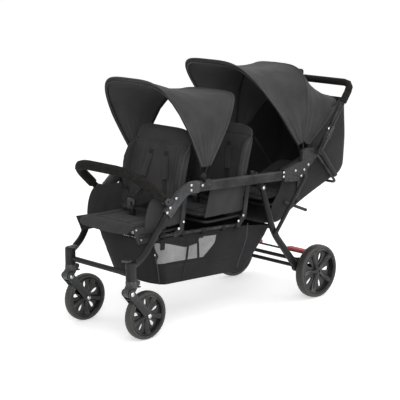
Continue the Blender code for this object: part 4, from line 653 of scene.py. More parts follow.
def panel_rows(one, two, sag, near_one, near_two, inner=20):
    """Rows of cloth from one bow to the next, close together by the sewn edges, with each row's lift."""
    rows, lifts = [], []
    marks = [("a", mark) for mark in near_one] + [("m", k / (inner + 1)) for k in range(1, inner + 1)]
    marks += [("b", mark) for mark in near_two]
    for kind, value in marks:
        row = []
        for a, b in zip(one, two):
            gap = (a - b).length
            tight = min(1.0, gap / 0.12)
            low, high = near_one[-1][0] * tight / gap, 1 - near_two[0][0] * tight / gap
            if kind == "a":
                share = value[0] * tight / gap
            elif kind == "b":
                share = 1 - value[0] * tight / gap
            else:
                share = low + (high - low) * value
            inward = Vector((a.x - b.x, 0, a.z - b.z)).cross(Vector((0, 1, 0))).normalized()
            wide = min(1.0, gap / 0.3)
            row.append(a.lerp(b, share) + inward * sag * wide * math.sin(math.pi * share))
        rows.append(row)
        lifts.append(0.0 if kind == "m" else value[1])
    return rows, lifts


def sheet_of(name, rows, thick, finish, lifts=None):
    """A closed sheet and its area: the rows are its outer face, its inner face lies thick below, marked."""
    across, along = len(rows[0]), len(rows)
    outer = np.array([[tuple(p) for p in row] for row in rows], float)
    du = np.gradient(outer, axis=1)
    dv = np.gradient(outer, axis=0)
    normal = np.cross(du, dv)
    normal /= np.maximum(np.linalg.norm(normal, axis=2, keepdims=True), 1e-9)
    centre = outer.mean(axis=(0, 1))
    if ((outer - centre) * normal).sum() < 0:
        normal = -normal
    if lifts is not None:
        outer = outer + normal * np.array(lifts)[:, None, None]
    inner = outer - normal * thick
    points = np.concatenate([outer.reshape(-1, 3), inner.reshape(-1, 3)])
    faces = []
    count = across * along
    for j in range(along - 1):
        for i in range(across - 1):
            a = j * across + i
            quad = (a, a + 1, a + across + 1, a + across)
            faces.append(quad)
            faces.append(tuple(q + count for q in reversed(quad)))
    last = along - 1
    rim = list(range(across - 1)) + [j * across + across - 1 for j in range(last)]
    rim += [last * across + i for i in range(across - 1, 0, -1)] + [j * across for j in range(last, 0, -1)]
    for a, b in zip(rim, rim[1:] + rim[:1]):
        faces.append((b, a, a + count, b + count))
    mesh = bpy.data.meshes.new(name)
    mesh.from_pydata(points.tolist(), [], faces)
    shape = bmesh.new()
    shape.from_mesh(mesh)
    bmesh.ops.recalc_face_normals(shape, faces=shape.faces)
    shape.to_mesh(mesh)
    shape.free()
    mark = mesh.attributes.new("inner_side", "FLOAT", "POINT")
    mark.data.foreach_set("value", np.repeat([0.0, 1.0], count).astype(np.float32))
    crisp(mesh, 50)
    area = sum(np.linalg.norm(np.cross(outer[j, i + 1] - outer[j, i], outer[j + 1, i] - outer[j, i]))
               for j in range(along - 1) for i in range(across - 1))
    return new_piece(name, mesh, finish), float(area)


thread = cloth_finish("sewing_thread", (0.060, 0.060, 0.061), (0.100, 0.100, 0.102), 2400.0, 0.0001)
piping_cloth = cloth_finish("piping_cloth", (0.050, 0.050, 0.051), (0.085, 0.085, 0.087), 1500.0, 0.0002)
stitch_tree, taken, stitch_sizes = new_tree("stitch_line", ("Spacing", "Stitch Length", "Thread Radius"))
seam_line = add(stitch_tree, "GeometryNodeMeshToCurve", {0: taken.outputs["Geometry"]})
spaced = add(stitch_tree, "GeometryNodeResampleCurve", {0: seam_line.outputs[0]}, mode="LENGTH")
stitch_tree.links.new(taken.outputs["Spacing"], spaced.inputs["Length"])
lie = add(stitch_tree, "FunctionNodeAlignRotationToVector",
          {"Vector": add(stitch_tree, "GeometryNodeInputTangent").outputs[0]}, axis="X")
loop = add(stitch_tree, "GeometryNodeMeshUVSphere", {"Segments": 6, "Rings": 4, "Radius": 0.5})
size = add(stitch_tree, "ShaderNodeCombineXYZ",
           {0: taken.outputs["Stitch Length"], 1: taken.outputs["Thread Radius"],
            2: taken.outputs["Thread Radius"]})
one_stitch = add(stitch_tree, "GeometryNodeTransform", {0: loop.outputs["Mesh"], "Scale": size.outputs[0]})
sewn = add(stitch_tree, "GeometryNodeInstanceOnPoints",
           {0: spaced.outputs[0], "Instance": one_stitch.outputs[0], "Rotation": lie.outputs[0]})
close_tree(stitch_tree, sewn.outputs[0], thread)


def stitches(name, lines, spacing=0.0052):
    """Rows of stitches along lines of points, made as one piece."""
    points, edges = [], []
    for line in lines:
        edges += [(len(points) + k, len(points) + k + 1) for k in range(len(line) - 1)]
        points += [tuple(p) for p in line]
    mesh = bpy.data.meshes.new(name)
    mesh.from_pydata(points, edges, [])
    return grown(new_piece(name, mesh, thread), stitch_tree, stitch_sizes,
                 {"Spacing": spacing, "Stitch Length": 0.0036, "Thread Radius": 0.0011})


HEM = [(0.0, 0.0), (0.0016, 0.0007), (0.0195, 0.0007), (0.0210, -0.0004), (0.0225, 0.0)]
BINDING = [(0.0, 0.0), (0.0016, 0.0006), (0.0110, 0.0006), (0.0122, -0.0003), (0.0135, 0.0)]
SEAM = [(0.0, -0.0006), (0.0022, 0.0006), (0.0048, 0.0006), (0.0060, 0.0)]


def canopy(name, pivot, sizes, sag, node):
    """The cloth over its bows, its hems, seams, piping and stitches."""
    bows = [arch(pivot, *bow) for bow in zip(*sizes)]
    rows, lifts = [], []
    for number, (one, two) in enumerate(zip(bows, bows[1:])):
        first = BINDING if number == 0 else SEAM
        last = HEM if number == len(bows) - 2 else SEAM
        made, up = panel_rows(one, two, sag, first, list(reversed(last)))
        if number:
            made, up = made[1:], up[1:]
        rows += made
        lifts += up
    middle = Vector((pivot[0], 0, pivot[1]))
    seams = [j for j in range(len(rows)) if lifts[j] == -0.0006] + [-9]
    for j, row in enumerate(rows):
        v = j / (len(rows) - 1)
        calm = min(1.0, v * 9, (1 - v) * 9, min(abs(j - s) / 4 for s in seams))
        for i, p in enumerate(row):
            t = i / ACROSS
            side = abs(2 * t - 1)
            far = math.hypot(p.x - pivot[0], p.z - pivot[1])
            ripple = math.sin(2 * math.pi * (4.3 * v + 0.55 * side))
            fan = 0.0052 * ripple * min(1.0, far / 0.10) * max(0.0, 1 - far / 0.34)
            drape = 0.0026 * math.sin(11 * t + 5 * v + 0.7) * math.sin(8 * v + 7 * t)
            slack = 0.0016 * math.sin(23 * t - 9 * v) * math.sin(17 * v + 3)
            out = (p - middle).normalized()
            row[i] = p - out * calm * (abs(fan) + abs(drape) + abs(slack))
    cover, area = sheet_of(name, rows, 0.0022, canopy_cloth, lifts)
    edge = swept(f"{name}_front_piping", rows[-1], disc(0.0021, 7), piping_cloth, up=Vector((0, 0.01, 1)))
    back = swept(f"{name}_rear_piping", rows[0], disc(0.0019, 7), piping_cloth, up=Vector((0, 0.01, 1)))
    lines = [rows[-4], rows[3]] + [rows[j] for j in range(5, len(rows) - 5) if lifts[j] == 0.0006]
    sewing = stitches(f"{name}_stitches", [[p + (p - middle).normalized() * 0.0009 for p in line]
                                           for line in lines])
    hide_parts(node)
    for piece in (cover, edge, back, sewing):
        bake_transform(piece)
    return rows


canopy("front_canopy_cloth", (0.241, 0.634), ((0.404, 0.464), (0.016, 0.022), (121, 61), (6.5, 0),
                                              (4.1, 4.0)), 0.020, "front_canopy_cover")
rear_rows = canopy("rear_canopy_cloth", (-0.363, 0.663),
                   ((0.360, 0.381, 0.567), (0.0, 0.012, 0.020), (143.0, 97, 48), (0, 0, 0), (5.0, 3.8, 4.2)),
                   0.026, "rear_canopy_cover")

# Rolled flap: the rear canopy's window flap of the same cloth, rolled up on its top and tied with
# two tapes.
ROLL_X, ROLL_START, ROLL_LONG = -0.470, -0.172, 0.275
TURNS, ROLL_IN, ROLL_OUT, FLAP_THICK = 3.0, 0.0060, 0.0195, 0.0022
near = min((p for row in rear_rows for p in row if abs(p.y) < 0.02 and p.z > 0.9),
           key=lambda p: abs(p.x - ROLL_X))
spiral = []
for k in range(73):
    a = 2 * math.pi * TURNS * k / 72
    r = ROLL_IN + (ROLL_OUT - ROLL_IN) * k / 72
    spiral.append((r * math.cos(a), r * math.sin(a)))
inner = [(x * (1 - FLAP_THICK / math.hypot(x, z)), z * (1 - FLAP_THICK / math.hypot(x, z)))
         for x, z in spiral]
roll_path = []
for k in range(25):
    y = ROLL_START + ROLL_LONG * k / 24
    sink = 0.0025 * math.sin(math.pi * k / 24) + 0.0010 * math.sin(k * 1.3)
    roll_path.append((near.x + 0.0010 * math.sin(k * 0.9), y, near.z + 0.0205 - sink))
flap = swept("rolled_flap", roll_path, spiral + list(reversed(inner)), canopy_cloth)
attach(flap, "frame")
for number, y in enumerate((-0.110, 0.050)):
    middle = Vector(roll_path[round((y - ROLL_START) / ROLL_LONG * 24)])
    ring = [middle + Vector((0.0212 * math.cos(a), 0, 0.0212 * math.sin(a))) for a in
            [2 * math.pi * m / 28 for m in range(28)]]
    tape = swept(f"flap_tape_{number}", ring, [(-0.007, -0.0006), (0.007, -0.0006), (0.007, 0.0006),
                                               (-0.007, 0.0006)], piping_cloth,
                 up=[(p - middle).normalized() for p in ring], closed=True)
    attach(tape, "frame")

# Canopy clips: moulded ovals that snap over the rails at each end of the front canopy's rear bow,
# each with two ringed studs.
CLIP_X, CLIP_Z, CLIP_FACE, CLIP_ROUND = 0.252, 0.6015, 0.2272, 0.0095
for side, way in SIDES:
    oval = []
    for k in range(32):
        a = 2 * math.pi * k / 32
        oval.append((CLIP_X + 0.021 * math.copysign(1, math.cos(a)) + CLIP_ROUND * math.cos(a),
                     CLIP_Z + CLIP_ROUND * math.sin(a)))
    shape = bmesh.new()
    levels = []
    for y, inset in ((0.2246, 1.0), (0.2262, 1.0), (CLIP_FACE, 0.93)):
        levels.append([shape.verts.new((CLIP_X + (x - CLIP_X) * inset, way * y,
                                        CLIP_Z + (z - CLIP_Z) * inset)) for x, z in oval])
    walled(shape, levels)
    clip = new_piece(f"canopy_clip_{side}", mesh_from(shape, f"canopy_clip_{side}", 40), casting_grey)
    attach(clip, "frame")
    rivets(f"clip_studs_{side}", "frame", [(x, way * CLIP_FACE, CLIP_Z) for x in (0.232, 0.272)], 0.0030,
           0.0012, 0.0052)


# Seats: three quilted pads of woven cloth over foam, the front one with a rolled lip. Each is
# sewn flat from a slightly small shape and swells as it is filled.
seat_cloth = cloth_finish("seat_cloth", (0.026, 0.026, 0.0265), (0.048, 0.048, 0.049), 760.0, 0.0004)
PAD_STEPS, PAD_SIDES, FILL_STEPS = 26, 44, 16


def padded_shape(name, line, half, thick, corner, ends=0.10):
    """A closed pad along a line of (x, z) points: rounded corners, crowned faces, drawn-in sides."""
    points = [Vector((x, 0, z)) for x, z in line]
    lengths = [0.0]
    for a, b in zip(points, points[1:]):
        lengths.append(lengths[-1] + (b - a).length)
    shape = bmesh.new()
    rings = []
    for k in range(PAD_STEPS + 1):
        s = -math.cos(math.pi * k / PAD_STEPS)
        goal = (s + 1) / 2 * lengths[-1]
        i = min(max(j for j in range(len(lengths)) if lengths[j] <= goal + 1e-9), len(points) - 2)
        part = (goal - lengths[i]) / (lengths[i + 1] - lengths[i])
        middle = points[i].lerp(points[i + 1], part)
        ahead = (points[i + 1] - points[i]).normalized()
        up = Vector((-ahead.z, 0, ahead.x))
        edge = max(0.0, 1 - abs(s) ** (2 / corner)) ** corner
        wide = half * (0.35 + 0.65 * edge) if abs(s) > 0.999 else half * max(edge, 0.35)
        deep = thick / 2 * max(math.sqrt(max(0.0, 1 - s ** 8)), ends)
        ring = []
        for m in range(PAD_SIDES):
            a = 2 * math.pi * m / PAD_SIDES
            c, q = math.cos(a), math.sin(a)
            y = wide * math.copysign(abs(c) ** 0.45, c)
            h = deep * math.copysign(abs(q) ** 0.62, q)
            ring.append(shape.verts.new(middle + Vector((0, y, 0)) + up * h))
        rings.append(ring)
    walled(shape, rings)
    return mesh_from(shape, name)


def filled(name, meshes, swell, finish, voxel=0.0055, seams=None):
    """Shapes sewn into one skin, filled by pressure with a cap on how far it swells, then quilted."""
    joined = bmesh.new()
    for mesh in meshes:
        joined.from_mesh(mesh)
    mesh = bpy.data.meshes.new(name)
    joined.to_mesh(mesh)
    joined.free()
    piece = new_piece(name, mesh, finish)
    skin = piece.modifiers.new("skin", "REMESH")
    skin.mode = "VOXEL"
    skin.voxel_size = voxel
    mesh = settled(piece).data
    rest = np.array([v.co for v in mesh.vertices])
    fabric = piece.modifiers.new("fabric", "CLOTH")
    for setting, value in (("quality", 4), ("mass", 0.25), ("tension_stiffness", 12),
                           ("compression_stiffness", 12), ("shear_stiffness", 4),
                           ("bending_stiffness", 0.4), ("use_pressure", True),
                           ("uniform_pressure_force", 4.0)):
        setattr(fabric.settings, setting, value)
    fabric.settings.effector_weights.gravity = 0.0
    for step in range(FILL_STEPS):
        bpy.context.scene.frame_set(step + 1)
    blown = bpy.data.meshes.new_from_object(piece.evaluated_get(bpy.context.evaluated_depsgraph_get()))
    piece.modifiers.clear()
    bpy.context.scene.frame_set(1)
    moved = np.array([v.co for v in blown.vertices]) - rest
    far = np.linalg.norm(moved, axis=1, keepdims=True)
    rest = rest + moved * np.minimum(1.0, swell / np.maximum(far, 1e-9))
    mesh.vertices.foreach_set("co", rest.ravel())
    mesh.update()
    smaller = piece.modifiers.new("finer", "SUBSURF")
    smaller.levels = smaller.render_levels = 1
    mesh = settled(piece).data
    if seams:
        where = np.array([v.co for v in mesh.vertices])
        facing = np.array([v.normal for v in mesh.vertices])
        mesh.vertices.foreach_set("co", (where - facing * seams(where)[:, None]).ravel())
        mesh.update()
    mesh.shade_smooth()
    return piece


def groove(distance, wide, deep):
    """How far a seam draws the skin in, at a distance from it."""
    return deep * np.exp(-(distance / wide) ** 2)


def skin_of(piece):
    """A pad's surface, for laying trims and straps on it."""
    mesh = piece.data
    return BVHTree.FromPolygons([v.co for v in mesh.vertices], [tuple(p.vertices) for p in mesh.polygons])


def laid(skin, start, way_down, lift):
    """Where a point dropped along way_down meets a skin, lifted a little off it."""
    hit = skin.ray_cast(start, way_down)[0]
    return (hit if hit is not None else start + way_down * 0.1) - way_down * lift


PITCH, FRONT_HINGE_X, HINGE_Z, REAR_HINGE_Z = 0.370, 0.353, 0.444, 0.462
HINGES = [(FRONT_HINGE_X - number * PITCH, z) for number, z in enumerate((HINGE_Z, HINGE_Z, REAR_HINGE_Z))]
for number, seat in enumerate(("front", "middle", "rear")):
    hinge_x, hinge_z = HINGES[number]
    top = hinge_z + 0.0105
    if number == 0:
        line = [(hinge_x + 0.018, top), (hinge_x + 0.150, top), (hinge_x + 0.215, top + 0.002),
                (hinge_x + 0.246, top), (hinge_x + 0.262, top - 0.010), (hinge_x + 0.268, top - 0.030)]
    else:
        line = [(hinge_x + 0.018, top), (hinge_x + 0.150, top), (hinge_x + 0.238, top)]

    def quilting(p, x0=hinge_x):
        x, y = p[:, 0] - x0, p[:, 1]
        made = sum(groove(y - w * 0.094, 0.0045, 0.0045) for w in (1, -1)) * (x < 0.215)
        made += groove(x - 0.107, 0.0045, 0.0035) * (np.abs(y) < 0.094)
        made += groove(x - 0.222, 0.0050, 0.0050)
        return made

    cushion = filled(f"{seat}_seat_cushion", [padded_shape("pad", line, 0.164, 0.020, 0.16)], 0.0055,
                     seat_cloth, seams=quilting)
    skin = skin_of(cushion)
    trims = []
    for side, way in SIDES:
        seam = [laid(skin, Vector((x, way * 0.25, top + 0.001)), Vector((0, -way, 0)), 0.0006)
                for x in np.linspace(hinge_x + 0.030, hinge_x + 0.232, 40)]
        trims.append(swept(f"{seat}_seat_piping_{side}", seam, disc(0.0020, 8), piping_cloth))
    lip = [laid(skin, Vector((hinge_x + 0.234, y, top + 0.1)), Vector((0, 0, -1)), 0.0004)
           for y in np.linspace(-0.150, 0.150, 60)]
    trims.append(swept(f"{seat}_lip_piping", lip, disc(0.0020, 8), piping_cloth))
    for trim in trims:
        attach(trim, "frame")
    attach(cushion, "frame")
    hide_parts(f"{seat}_seat")

# Backrests: tall quilted pads that recline on the seats' hinges; the two open ones have padded
# wings at their sides, a headrest stitched off across the top and slots for the shoulder straps.
def wing_shape(name, outline, y, thick):
    """A flat padded panel cut to an outline of (x, z) points."""
    shape = bmesh.new()
    middle = Vector((sum(p[0] for p in outline), 0, sum(p[1] for p in outline))) / len(outline)
    levels = []
    for h, inset in ((-1.0, 0.86), (-0.75, 0.97), (0.75, 0.97), (1.0, 0.86)):
        levels.append([shape.verts.new((middle.x + (x - middle.x) * inset, y + h * thick / 2,
                                        middle.z + (z - middle.z) * inset)) for x, z in outline])
    walled(shape, levels)
    return mesh_from(shape, name)


def rim_of(piece, middle, across, along, count=120):
    """The widest line round a pad, seen along its thickness, eased so that piping can lie on it."""
    points = np.array([v.co for v in piece.data.vertices])
    apart = points - np.array(middle)
    a, b = apart @ np.array(across), apart @ np.array(along)
    angle, reach = np.arctan2(b, a), np.hypot(a, b)
    line = []
    for k in range(count):
        turned = 2 * math.pi * k / count - math.pi
        near_turn = np.abs((angle - turned + math.pi) % (2 * math.pi) - math.pi) < 0.06
        best = np.where(near_turn, reach, -1).argmax()
        here = Vector((math.cos(turned), math.sin(turned)))
        line.append(points[best] + (np.array(across) * here.x + np.array(along) * here.y) * 0.0004)
    line = np.array(line)
    for _ in range(5):
        line = (np.roll(line, 1, axis=0) + 2 * line + np.roll(line, -1, axis=0)) / 4
    return [Vector(p) for p in line]


backs = {}
for number, seat in enumerate(("front", "middle", "rear")):
    hinge = Vector((HINGES[number][0], 0, HINGES[number][1]))
    lean = math.radians(70 if number == 2 else 13)
    long = (0.374, 0.352, 0.235)[number]
    rise_way = Vector((-math.sin(lean), 0, math.cos(lean)))
    face_way = Vector((math.cos(lean), 0, math.sin(lean)))
    foot, head = hinge + rise_way * 0.031, hinge + rise_way * (0.021 + long)
    shapes = [padded_shape("back", [(foot.x, foot.z), ((foot.x + head.x) / 2, (foot.z + head.z) / 2),
                                    (head.x, head.z)], 0.169, 0.024, 0.20)]
    if number < 2:
        for way in (1, -1):
            outline = []
            for up, out in ((0.095, -0.004), (0.095, 0.036), (0.16, 0.060), (0.235, 0.062), (0.290, 0.050),
                            (0.318, 0.024), (0.322, -0.004)):
                p = hinge + rise_way * up + face_way * out
                outline.append((p.x, p.z))
            shapes.append(wing_shape("wing", outline, way * 0.162, 0.012))

    def channels(p, hinge=hinge, rise_way=rise_way, number=number):
        up = (p - np.array(hinge)) @ np.array(rise_way)
        y = p[:, 1]
        if number == 2:
            return groove(up - 0.12, 0.005, 0.004) * (np.abs(y) < 0.13)
        made = sum(groove(y - w * 0.047, 0.0042, 0.0042) * ((up > 0.09) & (up < 0.265)) for w in (1, -1))
        made += groove(up - 0.322, 0.0048, 0.0052)
        made += sum(groove(y - w * 0.105, 0.0045, 0.0035) * ((up > 0.06) & (up < 0.315)) for w in (1, -1))
        made += sum(groove(y - w * 0.045, 0.011, 0.0035) * groove(up - u, 0.0022, 1.0)
                    for w in (1, -1) for u in (0.278, 0.290, 0.302))
        return made

    back = filled(f"{seat}_back_cushion", shapes, 0.0050, seat_cloth, seams=channels)
    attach(back, f"back_{seat}")
    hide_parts(f"{seat}_backrest")
    backs[seat] = (hinge, rise_way, face_way, skin_of(back))
    rim = rim_of(back, hinge + rise_way * (0.031 + long / 2), Vector((0, 1, 0)), rise_way)
    piping = swept(f"{seat}_back_piping", rim, disc(0.0022, 8), piping_cloth, up=face_way, closed=True)
    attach(piping, f"back_{seat}")

# Hinge cloths: the strip of the seat's own cloth that closes the gap between each seat and its
# backrest.
for number, seat in enumerate(("front", "middle", "rear")):
    hinge, rise_way, face_way = backs[seat][:3]
    start, stop = hinge + Vector((0.075, 0, 0.001)), hinge + rise_way * 0.045 - face_way * 0.006
    dip = hinge + Vector((-0.004, 0, -0.010 if number < 2 else -0.002))
    rows = []
    for j in range(17):
        v = j / 16
        p = start * (1 - v) ** 2 + dip * (2 * v * (1 - v)) + stop * v ** 2
        rows.append([Vector((p.x, y, p.z + 0.0010 * math.sin(y * 60 + j)))
                     for y in np.linspace(-0.179, 0.179, 45)])
    strip, area = sheet_of(f"{seat}_hinge_cloth", rows, 0.0016, seat_cloth)
    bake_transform(strip)

# Harnesses: webbing that comes through the backrest's slots with padded sleeves over the shoulders,
# lap straps from its foot and a moulded buckle on the crotch strap.
buckle_black = hard_finish("buckle_moulding", (0.005, 0.005, 0.0053), (0.011, 0.011, 0.0115),
                           (0.04, 0.04, 0.04), 0.30, 1200.0, 0.0002, shine=0.4)
webbing = cloth_finish("webbing", (0.010, 0.010, 0.0105), (0.022, 0.022, 0.023), 1300.0, 0.0005)


def band(half, top, thick):
    """A flat band's section, a little narrower on its outer face."""
    return [(-half, 0.0), (half, 0.0), (top, thick), (-top, thick)]


BAND = band(0.0115, 0.0110, 0.0015)
SLEEVE = [(-0.0150, -0.0004), (0.0150, -0.0004), (0.0165, 0.0030), (0.0120, 0.0064), (0.0, 0.0074),
          (-0.0120, 0.0064), (-0.0165, 0.0030)]
for number, seat in enumerate(("front", "middle", "rear")):
    hinge, rise_way, face_way, skin = backs[seat]
    finished(f"{seat}_buckle", buckle_black, 0.0012)
    finished(f"{seat}_buckle_button", buckle_black, 0.0006)
    low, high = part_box(f"{seat}_buckle")
    clasp = Vector(((low[0] + high[0]) / 2, 0, (low[2] + high[2]) / 2))
    top_slot = 0.290 if number < 2 else 0.190
    for side, way in SIDES:
        def on_back(up, y, lift=0.0012):
            return laid(skin, hinge + rise_way * up + face_way * 0.15 + Vector((0, y, 0)), -face_way, lift)

        shoulder = [on_back(top_slot, way * 0.0450, -0.006)]
        shoulder += [on_back(top_slot - 0.006 - (top_slot - 0.12) * k / 16, way * (0.0450 + 0.0016 * k))
                     for k in range(17)]
        hang = shoulder[-1]
        goal = clasp + Vector((-0.004, way * 0.018, 0.018))
        for k in range(1, 9):
            t = k / 8
            shoulder.append(hang.lerp(goal, t) + face_way * 0.012 * math.sin(math.pi * t) +
                            Vector((0, 0, -0.010)) * math.sin(math.pi * t))
        straps = [swept(f"{seat}_shoulder_strap_{side}", shoulder, BAND, webbing, up=face_way)]
        sleeve = [on_back(top_slot - 0.024 - (top_slot - 0.16) * 0.75 * k / 10, way * (0.0475 + 0.0020 * k),
                          0.0026) for k in range(11)]
        pad = swept(f"{seat}_shoulder_sleeve_{side}", sleeve, SLEEVE, seat_cloth, up=face_way)
        lap_start = hinge + rise_way * 0.050 + face_way * 0.020 + Vector((0, way * 0.150, 0))
        lap_low = hinge + Vector((0.060, way * 0.118, 0.031 if number < 2 else 0.029))
        lap = []
        for k in range(17):
            t = k / 16
            lap.append(lap_start * (1 - t) ** 2 + lap_low * 2 * t * (1 - t) +
                       (clasp + Vector((-0.002, way * 0.020, 0.0))) * t ** 2)
        straps.append(swept(f"{seat}_lap_strap_{side}", lap, BAND, webbing, up=Vector((0.5, 0, 1))))
        stop = hinge + rise_way * 0.075 + face_way * 0.022
        for strap in straps:
            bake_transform(strap)
        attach(pad, f"back_{seat}")
    foot = [Vector((clasp.x - 0.0105, 0, hinge.z + 0.020)), Vector((clasp.x - 0.0105, 0, clasp.z + 0.010))]
    crotch = swept(f"{seat}_crotch_strap", foot, band(0.0145, 0.0140, 0.0016),
                   webbing, up=Vector((-1, 0, 0)))
    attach(crotch, "frame")

# Side panels: single cloth between the seat and the rail on the two open seats, square behind and
# swept down in a curve ahead.
panel_cloth = cloth_finish("panel_cloth", (0.030, 0.030, 0.0305), (0.050, 0.050, 0.051), 700.0, 0.0003)
for number, seat, front_x in ((0, "front", 0.552), (1, "middle", 0.217)):
    hinge_x, hinge_z = HINGES[number]
    for side, way in SIDES:
        rear_low, rear_high = hinge_x + 0.008, hinge_x - (0.018 if number == 0 else 0.010)
        rows = []
        for j in range(19):
            v = j / 18
            z = hinge_z + 0.004 + (0.571 - hinge_z - 0.004) * math.sin(v * math.pi / 2)
            front = front_x - 0.050 * (1 - math.cos(v * math.pi / 2)) if number == 0 else \
                front_x + (0.182 - front_x) * math.sin(v * math.pi / 2)
            rear = rear_low + (rear_high - rear_low) * v
            row = []
            for i in range(25):
                u = i / 24
                bulge = 0.0035 * math.sin(math.pi * u) * math.sin(math.pi * min(1, v * 1.1))
                fold = 0.0012 * math.sin(19 * u + 4 * v) * (1 - v)
                row.append(Vector((rear + (front - rear) * u, way * (0.1815 + bulge + fold), z)))
            rows.append(row)
        panel, area = sheet_of(f"{seat}_panel_{side}", rows, 0.0020, panel_cloth)
        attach(panel, "frame")

# Front skirts: the front seat's side cloth carried down over its tube to the basket's front corner,
# held by snaps.
SKIRT_Y = 0.1782
for side, way in SIDES:
    rows = []
    for j in range(13):
        v = j / 12
        front = (0.615 - 0.028 * v, 0.462 - 0.066 * v)
        rear = (0.428 + 0.030 * v, 0.456 - 0.062 * v)
        row = []
        for k in range(21):
            t = k / 20
            slack = 0.0010 * math.sin(13 * t + 6 * v) * math.sin(math.pi * v)
            row.append(Vector((rear[0] + (front[0] - rear[0]) * t, way * (SKIRT_Y + slack),
                               rear[1] + (front[1] - rear[1]) * t)))
        rows.append(row)
    skirt, area = sheet_of(f"front_skirt_{side}", rows, 0.0016, panel_cloth)
    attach(skirt, "frame")

# Side gussets: cloth between each panel's rear edge and the backrest's side.
for number, seat in enumerate(("front", "middle")):
    hinge, rise_way = backs[seat][:2]
    for side, way in SIDES:
        rows = []
        for j in range(15):
            v = j / 14
            fixed = Vector((hinge.x + 0.012 - (0.026 if number == 0 else 0.018) * v, way * 0.1820,
                            hinge.z + 0.004 + 0.123 * math.sin(v * math.pi / 2)))
            moving = hinge + rise_way * (0.036 + 0.154 * v) + Vector((0, way * 0.1585, 0))
            row = []
            for k in range(13):
                t = k / 12
                row.append(fixed.lerp(moving, t) + Vector((-0.006 * math.sin(math.pi * t), 0, 0.0015 *
                                                           math.sin(9 * t + 5 * v))))
            rows.append(row)
        gusset, area = sheet_of(f"{seat}_gusset_{side}", rows, 0.0016, panel_cloth)
        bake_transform(gusset)

# Rear shell: a deep cloth trough behind and under the reclined rear seat, laced to the frame at
# its edge and resting on the bent bar; it bellies a little between them.
shell_cloth = cloth_finish("shell_cloth", (0.016, 0.016, 0.0165), (0.031, 0.031, 0.032), 700.0, 0.0003,
                           folds=7.0, lining=(0.016, 0.016, 0.017))


def spread(points, count):
    """Points spaced evenly along a line of (x, z) points, its corners eased."""
    line = [Vector((x, 0, z)) for x, z in points]
    fine = []
    for i in range(len(line) - 1):
        fine += [line[i].lerp(line[i + 1], k / 30) for k in range(30)]
    fine.append(line[-1])
    for _ in range(60):
        fine = [fine[0]] + [(fine[i - 1] + fine[i] * 2 + fine[i + 1]) / 4
                            for i in range(1, len(fine) - 1)] + [fine[-1]]
    lengths = np.concatenate([[0], np.cumsum([(b - a).length for a, b in zip(fine, fine[1:])])])
    made = []
    for goal in np.linspace(0, lengths[-1], count):
        i = min(int(np.searchsorted(lengths, goal, side="right")) - 1, len(fine) - 2)
        made.append(fine[i].lerp(fine[i + 1], (goal - lengths[i]) / (lengths[i + 1] - lengths[i])))
    return made


base = spread([(-0.157, 0.362), (-0.234, 0.352), (-0.375, 0.425), (-0.572, 0.498), (-0.652, 0.522),
               (-0.680, 0.556), (-0.684, 0.700), (-0.674, 0.874)], 72)
edge = spread([(-0.184, 0.450), (-0.234, 0.500), (-0.262, 0.600), (-0.405, 0.655), (-0.425, 0.716),
               (-0.500, 0.786), (-0.560, 0.838), (-0.640, 0.878)], 72)
rows = []
for j, (low, high) in enumerate(zip(base, edge)):
    row = []
    inward = (high - low).normalized()
    reach = (high - low).length
    for i in range(61):
        u = 2 * i / 60 - 1
        wide = 0.1955
        if abs(u) > 0.5:
            climb = (abs(u) - 0.5) / 0.5
            round_off = 0.030 * (1 - min(1.0, climb * reach / 0.030)) ** 2
            belly = 0.0015 * math.sin(math.pi * climb) + 0.0008 * math.sin(9 * climb + j * 0.35)
            y = wide - round_off * 0.4 + belly - 0.001
            p = low + inward * (reach * climb + 0.001)
        else:
            flat = abs(u) / 0.5
            y = wide * min(1.0, flat) - 0.012 * flat ** 8
            belly = 0.004 * (1 - flat ** 2) * math.sin(math.pi * j / 71)
            p = low + inward * (0.001 + 0.010 * flat ** 10 - belly * 0.3)
        row.append(Vector((p.x, math.copysign(y, u) if u else 0.0, p.z)))
    rows.append(row)
shell, area = sheet_of("rear_shell_cloth", rows, 0.0024, shell_cloth)
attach(shell, "frame")
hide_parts("rear_shell")

# Basket: a hung bag of heavier dark cloth with a window of knitted net in each side, bound with
# tape, crossed by two webbing straps, piped down its corners and looped over the lower rails.
basket_cloth = cloth_finish("basket_cloth", (0.011, 0.011, 0.012), (0.022, 0.022, 0.024), 620.0, 0.0004,
                            folds=8.0)
net_cloth = cloth_finish("net_cloth", (0.30, 0.30, 0.30), (0.52, 0.52, 0.52), 620.0, 0.0003)
tree = net_cloth.node_tree
threads_at = add(tree, "ShaderNodeTexCoord").outputs["Object"]
holes = add(tree, "ShaderNodeSeparateXYZ", {0: threads_at})
wavy = add(tree, "ShaderNodeTexNoise", {"Vector": threads_at, "Scale": 22.0, "Detail": 2.0})
MESH_PITCH = 0.0080
strand = []
for lean in (1.0, -1.0):
    slant = maths(tree, "MULTIPLY_ADD", holes.outputs["Z"], lean, holes.outputs["X"])
    bent = maths(tree, "MULTIPLY_ADD", wavy.outputs["Fac"], 0.030, slant)
    swing = maths(tree, "COSINE", maths(tree, "MULTIPLY", bent, 2 * math.pi / MESH_PITCH))
    strand.append(maths(tree, "GREATER_THAN", swing, 0.35))
feed(tree, tree.nodes["Principled BSDF"], {"Alpha": maths(tree, "MAXIMUM", *strand)})

RIM_FRONT, RIM_REAR, FLOOR_FRONT, FLOOR_FALL = 0.398, 0.350, 0.193, 0.021
FRONT_LOW, FRONT_SPREAD = 0.438, 0.066
REAR_LOW, REAR_SPREAD = -0.072, -0.135
LOW_HALF, TOP_HALF = 0.152, 0.0295


